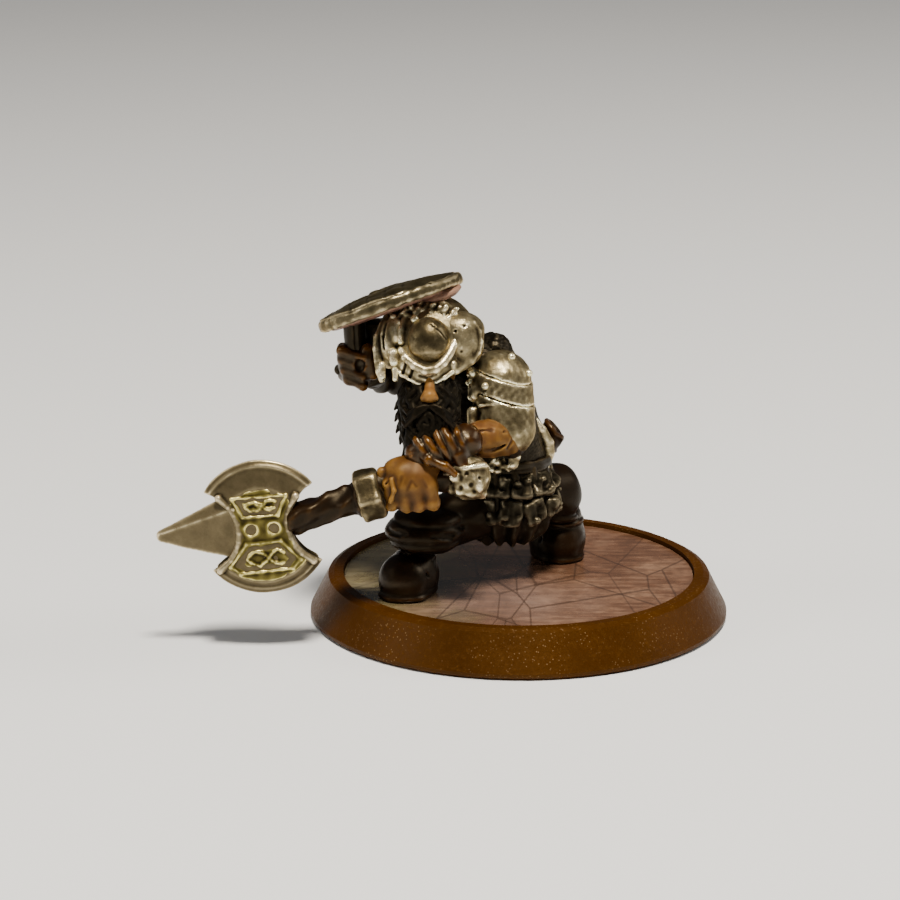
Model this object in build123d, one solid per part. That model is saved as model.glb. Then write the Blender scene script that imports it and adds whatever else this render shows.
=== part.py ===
from build123d import *
from math import asin, cos, radians, sin
import os

# A painted gaming miniature: a crouching, armoured dwarf-like warrior on a round base.
# He lunges over his front leg, holds a round shield flat above his head with the right
# hand and swings a double-bitted axe low in the left. Millimetres, +Z up. The origin is the
# centre of the base's flat underside. He lunges towards -X and -Y, and the axe points to -X.
# Every piece is moulded on its own, keyed to its neighbour by a peg or a seat, and glued.

# ---- Base -------------------------------------------------------------------------------
BASE_R = 18.0            # at the table
BASE_TOP_R = 16.2        # at the top of the sloping side
BASE_H = 3.8
BASE_FOOT_H = 0.5        # short upright wall under the slope
RECESS_R = 15.15         # seat of the printed disc
DISC_R = 15.05
DISC_T = 0.65
DISC_TOP = 3.45
PEG_R = 0.8
PEG_BOTTOM = 1.2         # pegs end inside the base's floor

# ---- Stance: the joints of the figure, as points in the base's frame ---------------------------
FRONT_FOOT = Vector(-9.35, -6.2, 5.0)
FRONT_ANKLE = Vector(-8.5, -5.2, 6.7)
FRONT_KNEE = Vector(-8.0, -4.9, 8.7)
FRONT_HIP = Vector(-2.4, -0.8, 10.0)
REAR_FOOT = Vector(3.35, 4.5, 4.9)
REAR_SHIN = Vector(3.6, 4.6, 7.0)
REAR_KNEE = Vector(2.9, 3.7, 9.3)
REAR_HIP = Vector(0.6, 1.4, 10.6)
HIPS = Vector(-1.1, 0.3, 10.3)
WAIST = Vector(-0.9, 0.4, 13.7)
CHEST = Vector(-3.2, -1.5, 19.0)
NAPE = Vector(-3.3, -2.3, 21.9)
HEAD = Vector(-7.5, -5.6, 25.0)
LEFT_SHOULDER = Vector(-1.6, -4.8, 21.8)
LEFT_ELBOW = Vector(-0.7, -6.6, 17.0)
LEFT_WRIST = Vector(-6.2, -10.0, 17.5)
LEFT_FIST = Vector(-8.9, -10.5, 14.6)
RIGHT_SHOULDER = Vector(-6.2, 0.6, 21.6)
RIGHT_ELBOW = Vector(-11.4, -0.6, 21.6)
RIGHT_FIST = Vector(-13.5, -4.0, 22.8)
SHIELD = Vector(-10.7, -4.0, 27.5)

# ---- Axe: a gently bent haft that runs through the left fist --------------------------------------
POMMEL = Vector(-4.3, -10.5, 15.0)
COLLAR = Vector(-12.0, -10.6, 13.45)
HAFT_TOP = Vector(-18.3, -10.9, 11.65)
AXE_HEAD = Vector(-21.2, -11.0, 10.85)
SPIKE_TIP = Vector(-30.0, -11.0, 9.9)
HAFT_R = 1.35
AXE_T = 1.5
AXE_TIP_U = 4.5          # half length of the cutting edges along the haft
AXE_TIP_W = 3.3          # height of the blade tips over the haft's line
AXE_EDGE_W = 5.55        # height of the cutting edges' middle
AXE_WAIST_U = 2.4        # half length of the narrow middle
AXE_WAIST_W = 0.9

SHIELD_DIP = 12          # degrees that its far side dips
SHIELD_LIST = 19         # degrees that its right end, over the fist, dips
SHIELD_R = 6.5
SHIELD_T = 0.8
SHIELD_DOME = 0.9
BOSS_R = 1.7
BOSS_H = 0.55
PLATE_GAP = 0.02         # glue gap between neighbouring plates
SKIRT_HEM = 6.6
BELT_R = 4.0


# ---- Shapes -----------------------------------------------------------------------------------
def ball(centre, radius):
    return Pos(*centre) * Sphere(radius)


def button(centre, radius, half_thick, turn=(0, 0, 0)):
    """A disc with a fully rounded edge, its axis turned from +Z in degrees about X, Y, Z."""
    flat = radius - half_thick
    profile = Wire([
        Edge.make_line((0, 0, -half_thick), (flat, 0, -half_thick)),
        Edge.make_three_point_arc((flat, 0, -half_thick), (radius, 0, 0), (flat, 0, half_thick)),
        Edge.make_line((flat, 0, half_thick), (0, 0, half_thick)),
        Edge.make_line((0, 0, half_thick), (0, 0, -half_thick)),
    ])
    return Location(tuple(centre), turn) * revolve(Face(profile), Axis.Z)


def pill(centre, reach, radius):
    """A rod with round ends, reaching the same way to both sides of its centre."""
    return limb(centre - reach, radius, centre + reach, radius)


def along(start, end):
    """The location at start whose Z runs towards end."""
    return Plane(origin=start, z_dir=end - start).location


def limb(start, start_r, end, end_r):
    """A tapered rod with a ball at each end, as one solid of revolution."""
    length = (end - start).length
    slope = asin((start_r - end_r) / length)
    low = Vector(start_r * cos(slope), 0, start_r * sin(slope))
    high = Vector(end_r * cos(slope), 0, length + end_r * sin(slope))
    low_turn = (slope - radians(90)) / 2
    high_turn = (slope + radians(90)) / 2
    low_mid = Vector(start_r * cos(low_turn), 0, start_r * sin(low_turn))
    high_mid = Vector(end_r * cos(high_turn), 0, length + end_r * sin(high_turn))
    bottom = Vector(0, 0, -start_r)
    top = Vector(0, 0, length + end_r)
    profile = Wire([
        Edge.make_three_point_arc(bottom, low_mid, low),
        Edge.make_line(low, high),
        Edge.make_three_point_arc(high, high_mid, top),
        Edge.make_line(top, bottom),
    ])
    return along(start, end) * revolve(Face(profile), Axis.Z)


def rod(start, end, radius):
    """A plain cylinder from one point to another."""
    length = (end - start).length
    return along(start, end) * Pos(0, 0, length / 2) * Cylinder(radius, length)


def slab(low, high):
    """A box between two corners."""
    size = high - low
    return Pos(*((low + high) * 0.5)) * Box(size.X, size.Y, size.Z)


def below(height, reach=60):
    """Everything under a height."""
    return Pos(0, 0, height - reach / 2) * Box(2 * reach, 2 * reach, reach)


def peg_under(foot):
    """The peg that pins a boot through the disc into the base."""
    top = Vector(foot.X, foot.Y, DISC_TOP + 1.2)
    return rod(Vector(foot.X, foot.Y, PEG_BOTTOM), top, PEG_R)


# ---- Base pieces ---------------------------------------------------------------------------------
def base_rim():
    bevel = 0.25
    outline = [
        (0, 0),
        (BASE_R - bevel, 0),
        (BASE_R, bevel),
        (BASE_R, BASE_FOOT_H),
        (BASE_TOP_R + bevel, BASE_H - bevel),
        (BASE_TOP_R - bevel, BASE_H),
        (RECESS_R, BASE_H),
        (RECESS_R, DISC_TOP - DISC_T),
        (0, DISC_TOP - DISC_T),
    ]
    profile = Wire.make_polygon([Vector(r, 0, z) for r, z in outline], close=True)
    return revolve(Face(profile), Axis.Z)


def base_disc():
    return Pos(0, 0, DISC_TOP - DISC_T / 2) * Cylinder(DISC_R, DISC_T)


# ---- Legs ------------------------------------------------------------------------------------------
def boot(foot, ankle, reach, radius, ankle_r):
    """A round-toed boot with a flat sole and a peg under it."""
    toe = limb(foot + reach, radius - 0.15, foot - reach, radius)
    shaft = limb(foot + Vector(0.3, 0.4, 0.4), ankle_r + 0.3, ankle, ankle_r)
    return (toe + shaft - below(DISC_TOP)) + peg_under(foot)


def front_boot():
    return boot(FRONT_FOOT, FRONT_ANKLE, Vector(-0.3, -0.6, 0), 2.35, 1.35)


def rear_boot():
    return boot(REAR_FOOT, REAR_SHIN, Vector(0.2, -0.3, 0), 2.3, 1.9)


def front_leg():
    thigh = limb(FRONT_HIP, 2.7, FRONT_KNEE + Vector(0.8, 0.6, 0.2), 2.3)
    cuff = button(FRONT_KNEE, 3.3, 1.85)
    shin = limb(FRONT_KNEE, 1.7, FRONT_ANKLE + Vector(0, 0, 0.6), 1.4)
    return thigh + cuff + shin


def rear_leg():
    thigh = limb(REAR_HIP, 2.6, REAR_KNEE, 2.2)
    knee = pill(REAR_KNEE, Vector(0, 0, 0.3), 2.4)
    return thigh + knee


# ---- Trunk ------------------------------------------------------------------------------------------
def skirt():
    folds = limb(HIPS + Vector(0, 0, -0.3), 4.15, WAIST, 3.5)
    return folds - below(SKIRT_HEM)


def skirt_plates():
    """Two rows of small armour plates round the skirt, clear of the legs."""
    plates = []
    for row_z, row_r, lean, turns in (
        (12.1, 3.5, 34, range(-130, 231, 30)),
        (9.9, 4.15, 4, range(-115, 246, 30)),
    ):
        for turn in turns:
            place = Location((HIPS.X, HIPS.Y, row_z), (0, 0, turn))
            plates.append(place * Location((row_r, 0, 0), (0, -lean, 0)) * Box(0.5, 1.7, 1.9))
    return Compound(plates)


def belt():
    return button(WAIST, BELT_R, 0.75)


def belt_buckle():
    place = Location((WAIST.X - 1.4, WAIST.Y - 3.5, WAIST.Z), (0, 0, -20))
    return place * Box(2.4, 0.9, 2.0)


def torso():
    trunk = limb(WAIST, 3.3, CHEST, 4.0)
    back = limb(CHEST, 3.6, NAPE, 3.3)
    return trunk + back


def mantle():
    """A short cape over the back, thicker than the mail so that it stands proud of it."""
    outer = limb(WAIST + Vector(0.1, 1.2, -0.4), 3.3, CHEST + Vector(0.1, 1.2, 1.2), 3.7)
    front = Plane(origin=WAIST + Vector(0.4, 0.4, 0), z_dir=Vector(-0.6, -0.8, 0.1))
    return outer - front.location * Pos(0, 0, 15) * Box(40, 40, 30)


def mantle_trim():
    """The bright bound edge of the cape on the left side."""
    start = WAIST + Vector(2.7, -1.0, -1.2)
    bend = WAIST + Vector(3.4, -0.3, 0.9)
    end = WAIST + Vector(2.4, -1.0, 3.2)
    return limb(start, 0.35, bend, 0.4) + limb(bend, 0.4, end, 0.35)


def belt_horn():
    """A drinking horn that hangs behind the left hip, mouth up."""
    tip = WAIST + Vector(2.4, 2.6, -2.4)
    bend = WAIST + Vector(2.9, 2.8, -0.2)
    mouth = WAIST + Vector(3.8, 2.9, 1.5)
    return limb(tip, 0.6, bend, 0.95) + limb(bend, 0.95, mouth, 1.2)


# ---- Head ---------------------------------------------------------------------------------------------
def head():
    skull = ball(HEAD + Vector(0.1, -0.3, -0.8), 3.2)
    nose = ball(HEAD + Vector(0.25, -3.6, -2.7), 0.85)
    neck = limb(HEAD + Vector(0.8, 0.8, -1.8), 1.9, NAPE + Vector(0.4, 0.4, -0.9), 1.9)
    return skull + nose + neck


def beard():
    upper = pill(HEAD + Vector(0.0, -1.5, -4.2), Vector(0.9, 0, 0), 2.6)
    lower = limb(HEAD + Vector(-0.2, -2.2, -5.2), 2.4, HEAD + Vector(-0.5, -1.5, -7.1), 1.5)
    return upper + lower


def helmet_shell():
    dome = ball(HEAD + Vector(0.1, 0.1, 0.3), 3.95)
    brim = Plane(origin=HEAD + Vector(0, 0, -1.6), z_dir=Vector(0, -0.45, -0.9))
    return dome - brim.location * Pos(0, 0, 15) * Box(40, 40, 30)


def helmet_visor():
    """The deep brow plate that comes to a blunt point over the nose."""
    plate = pill(HEAD + Vector(0.1, -1.9, 0.1), Vector(0.4, 0, 0), 2.75)
    front = Plane(origin=HEAD + Vector(0, -2.2, 0), z_dir=Vector(0, 0.94, 0.34))
    return plate - front.location * Pos(0, 0, 15) * Box(40, 40, 30)


def helmet_crescent():
    """The raised horseshoe moulding on the brow, open upwards."""
    hoop = Torus(2.35, 0.42) - Pos(0, 5, 0) * Box(12, 8.6, 3)
    return Location(tuple(HEAD + Vector(0.0, -4.35, 1.25)), (62, 0, 0)) * hoop


def helmet_boss():
    return button(HEAD + Vector(0.0, -3.5, 1.3), 1.9, 1.2, (75, 0, 0))


def helmet_lobe(side):
    """A curled guard over one ear. side is +1 for his left, which shows, and -1 for his right."""
    if side > 0:
        shape = button(HEAD + Vector(3.0, -0.1, 0.6), 2.7, 1.75, (0, 78, 0))
        tip = limb(HEAD + Vector(2.9, -1.2, -0.9), 1.1, HEAD + Vector(2.0, -2.0, -1.7), 0.7)
        return shape + tip
    shape = button(HEAD + Vector(-3.5, -0.4, 0.6), 2.7, 1.1, (0, 95, 0))
    tip = limb(HEAD + Vector(-3.7, -1.5, -1.0), 0.85, HEAD + Vector(-3.9, -2.0, -2.2), 0.6)
    return shape + tip


def helmet_prongs():
    """Two short bars that hang from the brow's right end beside the cheek."""
    first = limb(HEAD + Vector(-2.4, -3.1, -0.2), 0.55, HEAD + Vector(-2.5, -3.3, -1.5), 0.5)
    second = limb(HEAD + Vector(-2.9, -3.4, -1.6), 0.45, HEAD + Vector(-2.9, -3.7, -2.7), 0.4)
    return Compound([first, second])


def helmet_crest():
    return limb(HEAD + Vector(0.6, -2.0, 3.3), 0.55, HEAD + Vector(1.2, 1.6, 3.6), 0.6)


def helmet_rivets():
    """The dome-headed rivets of the brow and the ear guards, as one group."""
    spots = [(-1.2, -3.3, 3.0), (2.2, -2.8, 2.7), (-2.9, -2.7, 2.2)]
    return Compound([ball(HEAD + Vector(*spot), 0.42) for spot in spots])


# ---- Left arm, which swings the axe ---------------------------------------------------------------------
def left_upper_arm():
    return limb(LEFT_SHOULDER + Vector(0.0, 0.6, -0.2), 1.7, LEFT_ELBOW, 1.35)


def arm_plate(radius, top, bottom, top_tilt, bottom_tilt):
    """One lame of the arm's armour: the arm's fat outline between two tilted cuts."""
    shell = limb(LEFT_SHOULDER, radius, LEFT_ELBOW + Vector(-0.4, 0.9, 1.3), radius - 0.15)
    upper = Location((LEFT_SHOULDER.X, LEFT_SHOULDER.Y, top), (0, top_tilt, 0))
    lower = Location((LEFT_SHOULDER.X, LEFT_SHOULDER.Y, bottom), (0, bottom_tilt, 0))
    shell = shell - upper * Pos(0, 0, 15) * Box(40, 40, 30)
    return shell - lower * Pos(0, 0, -15) * Box(40, 40, 30)


def pauldron_top():
    return arm_plate(2.65, LEFT_SHOULDER.Z + 4, LEFT_SHOULDER.Z + 0.6, 0, 16)


def pauldron_middle():
    return arm_plate(2.6, LEFT_SHOULDER.Z + 0.6 - PLATE_GAP, LEFT_SHOULDER.Z - 1.9, 16, 16)


def elbow_plate():
    shell = arm_plate(2.6, LEFT_SHOULDER.Z - 1.9 - PLATE_GAP, LEFT_SHOULDER.Z - 4.4, 16, 8)
    cop = pill(LEFT_ELBOW + Vector(0.1, 0.3, 0.3), Vector(0, 0, 0.5), 1.65)
    return shell + cop


def pauldron_rivets():
    """Rivets at the back edge of the shoulder plates, as one group."""
    spots = [(0.9, -0.9, 2.3), (2.35, -0.9, 0.9), (-1.2, -2.3, 0.2)]
    return Compound([ball(LEFT_SHOULDER + Vector(*spot), 0.4) for spot in spots])


def left_forearm():
    start = LEFT_ELBOW + Vector(-0.3, -0.5, 0.1)
    return limb(start, 1.35, LEFT_ELBOW + Vector(-4.6, -2.9, 0.9), 1.6)


def left_bracer():
    """The crumpled leather cuff of the glove between the forearm and the fist."""
    cuff = pill(LEFT_WRIST, Vector(0.65, 0, -0.2), 2.1)
    tie = limb(LEFT_WRIST + Vector(1.9, -0.6, -0.5), 0.7, LEFT_WRIST + Vector(2.2, -0.8, -1.6), 0.55)
    return cuff + tie


def left_fist():
    palm = pill(LEFT_FIST, Vector(0.7, 0, 0.1), 2.05)
    wrist = limb(LEFT_FIST + Vector(0.8, 0.1, 0.9), 1.5, LEFT_WRIST + Vector(-0.6, 0, -0.4), 1.4)
    return palm + wrist


# ---- Axe --------------------------------------------------------------------------------------------------
def axe_place():
    """The plane of the axe head: X towards the spike, Y across the blades, Z to the front."""
    reach = SPIKE_TIP - AXE_HEAD
    return Plane(origin=AXE_HEAD, x_dir=reach, z_dir=Vector(0, -1, 0)).location


def axe_haft():
    grip = limb(POMMEL + Vector(-1.0, 0, -0.05), 1.1, LEFT_FIST + Vector(0, 0, -0.1), 1.1)
    neck = limb(LEFT_FIST + Vector(0, 0, -0.1), 1.1, COLLAR, 1.25)
    shaft = limb(COLLAR, HAFT_R, HAFT_TOP, HAFT_R + 0.15)
    tenon = limb(HAFT_TOP, HAFT_R + 0.1, AXE_HEAD + Vector(1.9, 0, 0.3), 1.0)
    return grip + neck + shaft + tenon


def axe_collar():
    """A six-sided nut-like band on the haft."""
    reach = HAFT_TOP - COLLAR
    hexagon = RegularPolygon(2.25, 6)
    return Plane(origin=COLLAR - reach * 0.15, z_dir=reach).location * extrude(hexagon, 1.9)


def axe_blade_outline():
    """Both blades: two cutting-edge arcs, with hollow arcs to the waist."""
    def quarter(u_sign, w_sign):
        tip = (u_sign * AXE_TIP_U, w_sign * AXE_TIP_W)
        waist = (u_sign * AXE_WAIST_U * 0.9, 0)
        middle = (u_sign * (AXE_WAIST_U + 0.45), w_sign * AXE_WAIST_W * 1.7)
        return tip, middle, waist
    edges = []
    for w_sign in (1, -1):
        left = (-AXE_TIP_U, w_sign * AXE_TIP_W)
        right = (AXE_TIP_U, w_sign * AXE_TIP_W)
        edges.append(Edge.make_three_point_arc(left, (0, w_sign * AXE_EDGE_W), right))
    for u_sign in (1, -1):
        for w_sign in (1, -1):
            edges.append(Edge.make_three_point_arc(*quarter(u_sign, w_sign)))
    return Wire.combine(edges)[0]


def axe_head():
    face = Face(axe_blade_outline())
    plate = extrude(face, AXE_T / 2, both=True)
    hub = Pos(0.1, 0, 0) * Cylinder(2.2, AXE_T + 0.4)
    holes = [Pos(u, 0, AXE_T / 2) * Cylinder(0.6, 1.0) for u in (-1.0, 0.9)]
    return axe_place() * (plate + hub - holes[0] - holes[1])


def axe_pins():
    """The two pins that hold the head on the haft, sunk in their holes."""
    pins = [Pos(u, 0, AXE_T / 2 - 0.3) * Cylinder(0.6, 0.4) for u in (-1.0, 0.9)]
    return axe_place() * Compound(pins)


def axe_spike():
    """A flat, four-sided spear point that runs out of the head."""
    length = (SPIKE_TIP - AXE_HEAD).length
    root = Polygon((0, 2.05), (0.75, 0.15), (0, -1.9), (-0.75, 0.15), align=None)
    tip = Polygon((0, 0.5), (0.3, 0.15), (0, -0.2), (-0.3, 0.15), align=None)
    point = loft([
        Plane(origin=(3.4, 0, 0), x_dir=(0, 0, 1), z_dir=(1, 0, 0)).location * root,
        Plane(origin=(length, 0, 0), x_dir=(0, 0, 1), z_dir=(1, 0, 0)).location * tip,
    ])
    socket = Pos(2.4, 0.1, 0) * Box(2.4, 3.0, 1.3)
    return axe_place() * (point + socket)


def axe_pommel():
    knob = ball(POMMEL, 1.95)
    lip = pill(POMMEL + Vector(-0.4, -0.3, -1.2), Vector(0.5, 0, 0), 0.85)
    return knob + lip


# ---- Shield and right arm --------------------------------------------------------------------------------
def shield_place():
    """Flat above the head, with its far side and its outer end dipped."""
    return Location(tuple(SHIELD), (-SHIELD_DIP, -SHIELD_LIST, 0))


def shield_board():
    """A round board with a low domed face and a flat back."""
    sphere_r = (SHIELD_R ** 2 + SHIELD_DOME ** 2) / (2 * SHIELD_DOME)
    dome = Pos(0, 0, SHIELD_DOME - sphere_r) * Sphere(sphere_r)
    body = Cylinder(SHIELD_R - 0.6, 4) & dome & slab(Vector(-9, -9, -0.5), Vector(9, 9, 4))
    return shield_place() * body


def shield_rim():
    ring = Pos(0, 0, -0.2) * (Cylinder(SHIELD_R, 1.2) - Cylinder(SHIELD_R - 0.9, 2))
    return shield_place() * ring


def shield_boss():
    cap = button((0, 0, SHIELD_DOME - 0.1), BOSS_R, BOSS_H)
    return shield_place() * (cap & Pos(0, 0, SHIELD_DOME + 1.5) * Cylinder(3, 4))


def shield_grip():
    """The bar and strap under the shield, which the right fist closes on."""
    bar = limb(RIGHT_FIST + Vector(-1.6, 0.4, -0.4), 0.55, RIGHT_FIST + Vector(1.7, -0.4, 0.8), 0.55)
    post = limb(RIGHT_FIST + Vector(0.2, 0.0, 0.4), 0.75, SHIELD + Vector(-2.7, 0.0, -1.1), 0.75)
    return bar + post


def right_upper_arm():
    return limb(RIGHT_SHOULDER, 2.6, RIGHT_ELBOW, 2.0)


def right_forearm():
    return limb(RIGHT_ELBOW, 1.9, RIGHT_FIST + Vector(1.0, 1.4, -0.3), 1.5)


def right_fist():
    fist = pill(RIGHT_FIST, Vector(0, 0, 0.15), 1.7)
    knuckles = limb(RIGHT_FIST + Vector(0.1, -0.4, -0.9), 0.9, RIGHT_FIST + Vector(0.7, 0.6, -0.9), 0.9)
    return fist + knuckles


def shoulder_spine():
    """The stiff collar of mail behind the head that the cape hangs from."""
    return limb(NAPE + Vector(-2.2, 2.0, 0.6), 1.5, NAPE + Vector(1.2, -0.6, 2.0), 1.5)


# Each piece gives way to the ones above it, so that pegs, hafts and hands cut their own
# sockets and no two pieces share any space.
PIECES = {
    "axe_pins": axe_pins,
    "axe_haft": axe_haft,
    "axe_collar": axe_collar,
    "axe_head": axe_head,
    "axe_spike": axe_spike,
    "axe_pommel": axe_pommel,
    "left_fist": left_fist,
    "left_bracer": left_bracer,
    "left_forearm": left_forearm,
    "left_upper_arm": left_upper_arm,
    "pauldron_rivets": pauldron_rivets,
    "pauldron_top": pauldron_top,
    "pauldron_middle": pauldron_middle,
    "elbow_plate": elbow_plate,
    "shield_grip": shield_grip,
    "shield_boss": shield_boss,
    "shield_rim": shield_rim,
    "shield_board": shield_board,
    "right_fist": right_fist,
    "right_forearm": right_forearm,
    "right_upper_arm": right_upper_arm,
    "helmet_rivets": helmet_rivets,
    "helmet_crest": helmet_crest,
    "helmet_crescent": helmet_crescent,
    "helmet_boss": helmet_boss,
    "helmet_prongs": helmet_prongs,
    "helmet_visor": helmet_visor,
    "head": head,
    "helmet_lobe_left": lambda: helmet_lobe(1),
    "helmet_lobe_right": lambda: helmet_lobe(-1),
    "helmet_shell": helmet_shell,
    "beard": beard,
    "belt_buckle": belt_buckle,
    "belt_horn": belt_horn,
    "mantle_trim": mantle_trim,
    "shoulder_spine": shoulder_spine,
    "front_boot": front_boot,
    "rear_boot": rear_boot,
    "torso": torso,
    "belt": belt,
    "mantle": mantle,
    "skirt_plates": skirt_plates,
    "front_leg": front_leg,
    "rear_leg": rear_leg,
    "skirt": skirt,
    "base_disc": base_disc,
    "base_rim": base_rim,
}
CRUMB = 0.1              # share of a node's largest solid; a cut leaves no smaller one


def apart(first, second):
    """True if two shapes' boxes don't meet."""
    a, b = first.bounding_box(), second.bounding_box()
    return any(
        getattr(a.min, axis) > getattr(b.max, axis) or getattr(b.min, axis) > getattr(a.max, axis)
        for axis in "XYZ"
    )


def carved(solid, tools):
    """The solid without the room that the tools take."""
    for tool in tools:
        if not apart(solid, tool):
            solid = solid - tool
    return solid.solids()


def main():
    os.makedirs("parts", exist_ok=True)
    tools = []
    for name, make in PIECES.items():
        blanks = make().solids()
        pieces = [piece for blank in blanks for piece in carved(blank, tools)]
        largest = max(piece.volume for piece in pieces)
        pieces = [piece for piece in pieces if piece.volume > CRUMB * largest]
        tools.extend(blanks)
        shape = Compound(pieces) if len(pieces) > 1 else pieces[0]
        export_step(shape, f"parts/{name}.step")
        print(f"{name}: {len(pieces)} solid(s), {shape.volume:.1f} mm3")


main()
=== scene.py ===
import math

import bpy
import numpy as np
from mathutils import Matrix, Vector


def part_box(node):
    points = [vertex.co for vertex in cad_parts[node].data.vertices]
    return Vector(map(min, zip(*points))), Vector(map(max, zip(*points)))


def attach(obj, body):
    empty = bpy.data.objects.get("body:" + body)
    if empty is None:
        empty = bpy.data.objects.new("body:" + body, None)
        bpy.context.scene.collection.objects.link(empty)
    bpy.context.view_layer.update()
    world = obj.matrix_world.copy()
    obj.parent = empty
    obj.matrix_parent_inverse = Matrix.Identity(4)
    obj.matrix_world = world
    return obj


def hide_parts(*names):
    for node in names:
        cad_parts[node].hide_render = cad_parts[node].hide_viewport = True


# A painted gaming miniature on a round base. Every sculpted piece is cut from a block of
# voxels with distance fields, then meshed, so that its folds, curls, rims and engraving are
# real geometry. Lengths are in millimetres until a mesh is made. Each piece is placed from
# the box of the CAD node that it stands for.

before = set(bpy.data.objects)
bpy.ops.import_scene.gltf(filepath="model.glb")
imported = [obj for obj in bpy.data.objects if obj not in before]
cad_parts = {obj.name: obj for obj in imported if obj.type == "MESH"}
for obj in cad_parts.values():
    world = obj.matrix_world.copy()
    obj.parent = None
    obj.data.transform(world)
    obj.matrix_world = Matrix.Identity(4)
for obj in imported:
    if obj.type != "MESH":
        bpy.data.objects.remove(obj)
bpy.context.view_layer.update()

MM = 0.001
VERY_FINE = 0.08          # voxel sizes
FINE = 0.09
MEDIUM = 0.12
FAR_OUTSIDE = 5.0         # what an empty voxel holds, in mm
RELIEF_TILT = math.radians(15.7)   # the helmet's relief is modelled towards a raised eye
RIGHT = np.array([1.0, 0.0, 0.0])
UP = np.array([0.0, math.sin(RELIEF_TILT), math.cos(RELIEF_TILT)])
OUT = np.array([0.0, -math.cos(RELIEF_TILT), math.sin(RELIEF_TILT)])


# ---- Places ----
def spot(node, dx=0.0, dy=0.0, dz=0.0):
    """The centre of a CAD node's box, in mm, moved by an offset."""
    low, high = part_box(node)
    return (np.array(low) + np.array(high)) / 2 / MM + (dx, dy, dz)


# ---- Distance fields ----
def smooth_min(a, b, blend):
    if blend <= 0:
        return np.minimum(a, b)
    h = np.clip(0.5 + 0.5 * (b - a) / blend, 0, 1)
    return b + (a - b) * h - blend * h * (1 - h)


def smooth_max(a, b, blend):
    return -smooth_min(-a, -b, blend)


def turn_matrix(turn):
    rx, ry, rz = (math.radians(angle) for angle in turn)
    cx, sx, cy, sy, cz, sz = (f(a) for a in (rx, ry, rz) for f in (math.cos, math.sin))
    about_x = np.array([[1, 0, 0], [0, cx, -sx], [0, sx, cx]])
    about_y = np.array([[cy, 0, sy], [0, 1, 0], [-sy, 0, cy]])
    about_z = np.array([[cz, -sz, 0], [sz, cz, 0], [0, 0, 1]])
    return about_z @ about_y @ about_x


def frame_along(direction):
    """Rows are the axes of a frame whose third axis is the direction."""
    w = np.array(direction, float)
    w /= np.linalg.norm(w)
    u = np.cross((0, 0, 1.0), w)
    if np.linalg.norm(u) < 1e-3:
        u = np.cross((0, 1.0, 0), w)
    u /= np.linalg.norm(u)
    return np.array([u, np.cross(w, u), w])


def into(axes, centre, x, y, z):
    """Coordinates of grid points in a turned frame."""
    px, py, pz = x - centre[0], y - centre[1], z - centre[2]
    return tuple(row[0] * px + row[1] * py + row[2] * pz for row in axes)


def waves(x, y, z, size, seed):
    """Smooth lumps of about the given size, from -1 to 1."""
    rng = np.random.default_rng(seed)
    total, count = 0, 7
    for _ in range(count):
        direction = rng.normal(size=3)
        direction *= rng.uniform(0.6, 1.5) * 2 * math.pi / size / np.linalg.norm(direction) / 1.6
        phase = rng.uniform(0, 2 * math.pi)
        total = total + np.sin(direction[0] * x + direction[1] * y + direction[2] * z + phase)
    return total / count * 1.6


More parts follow.
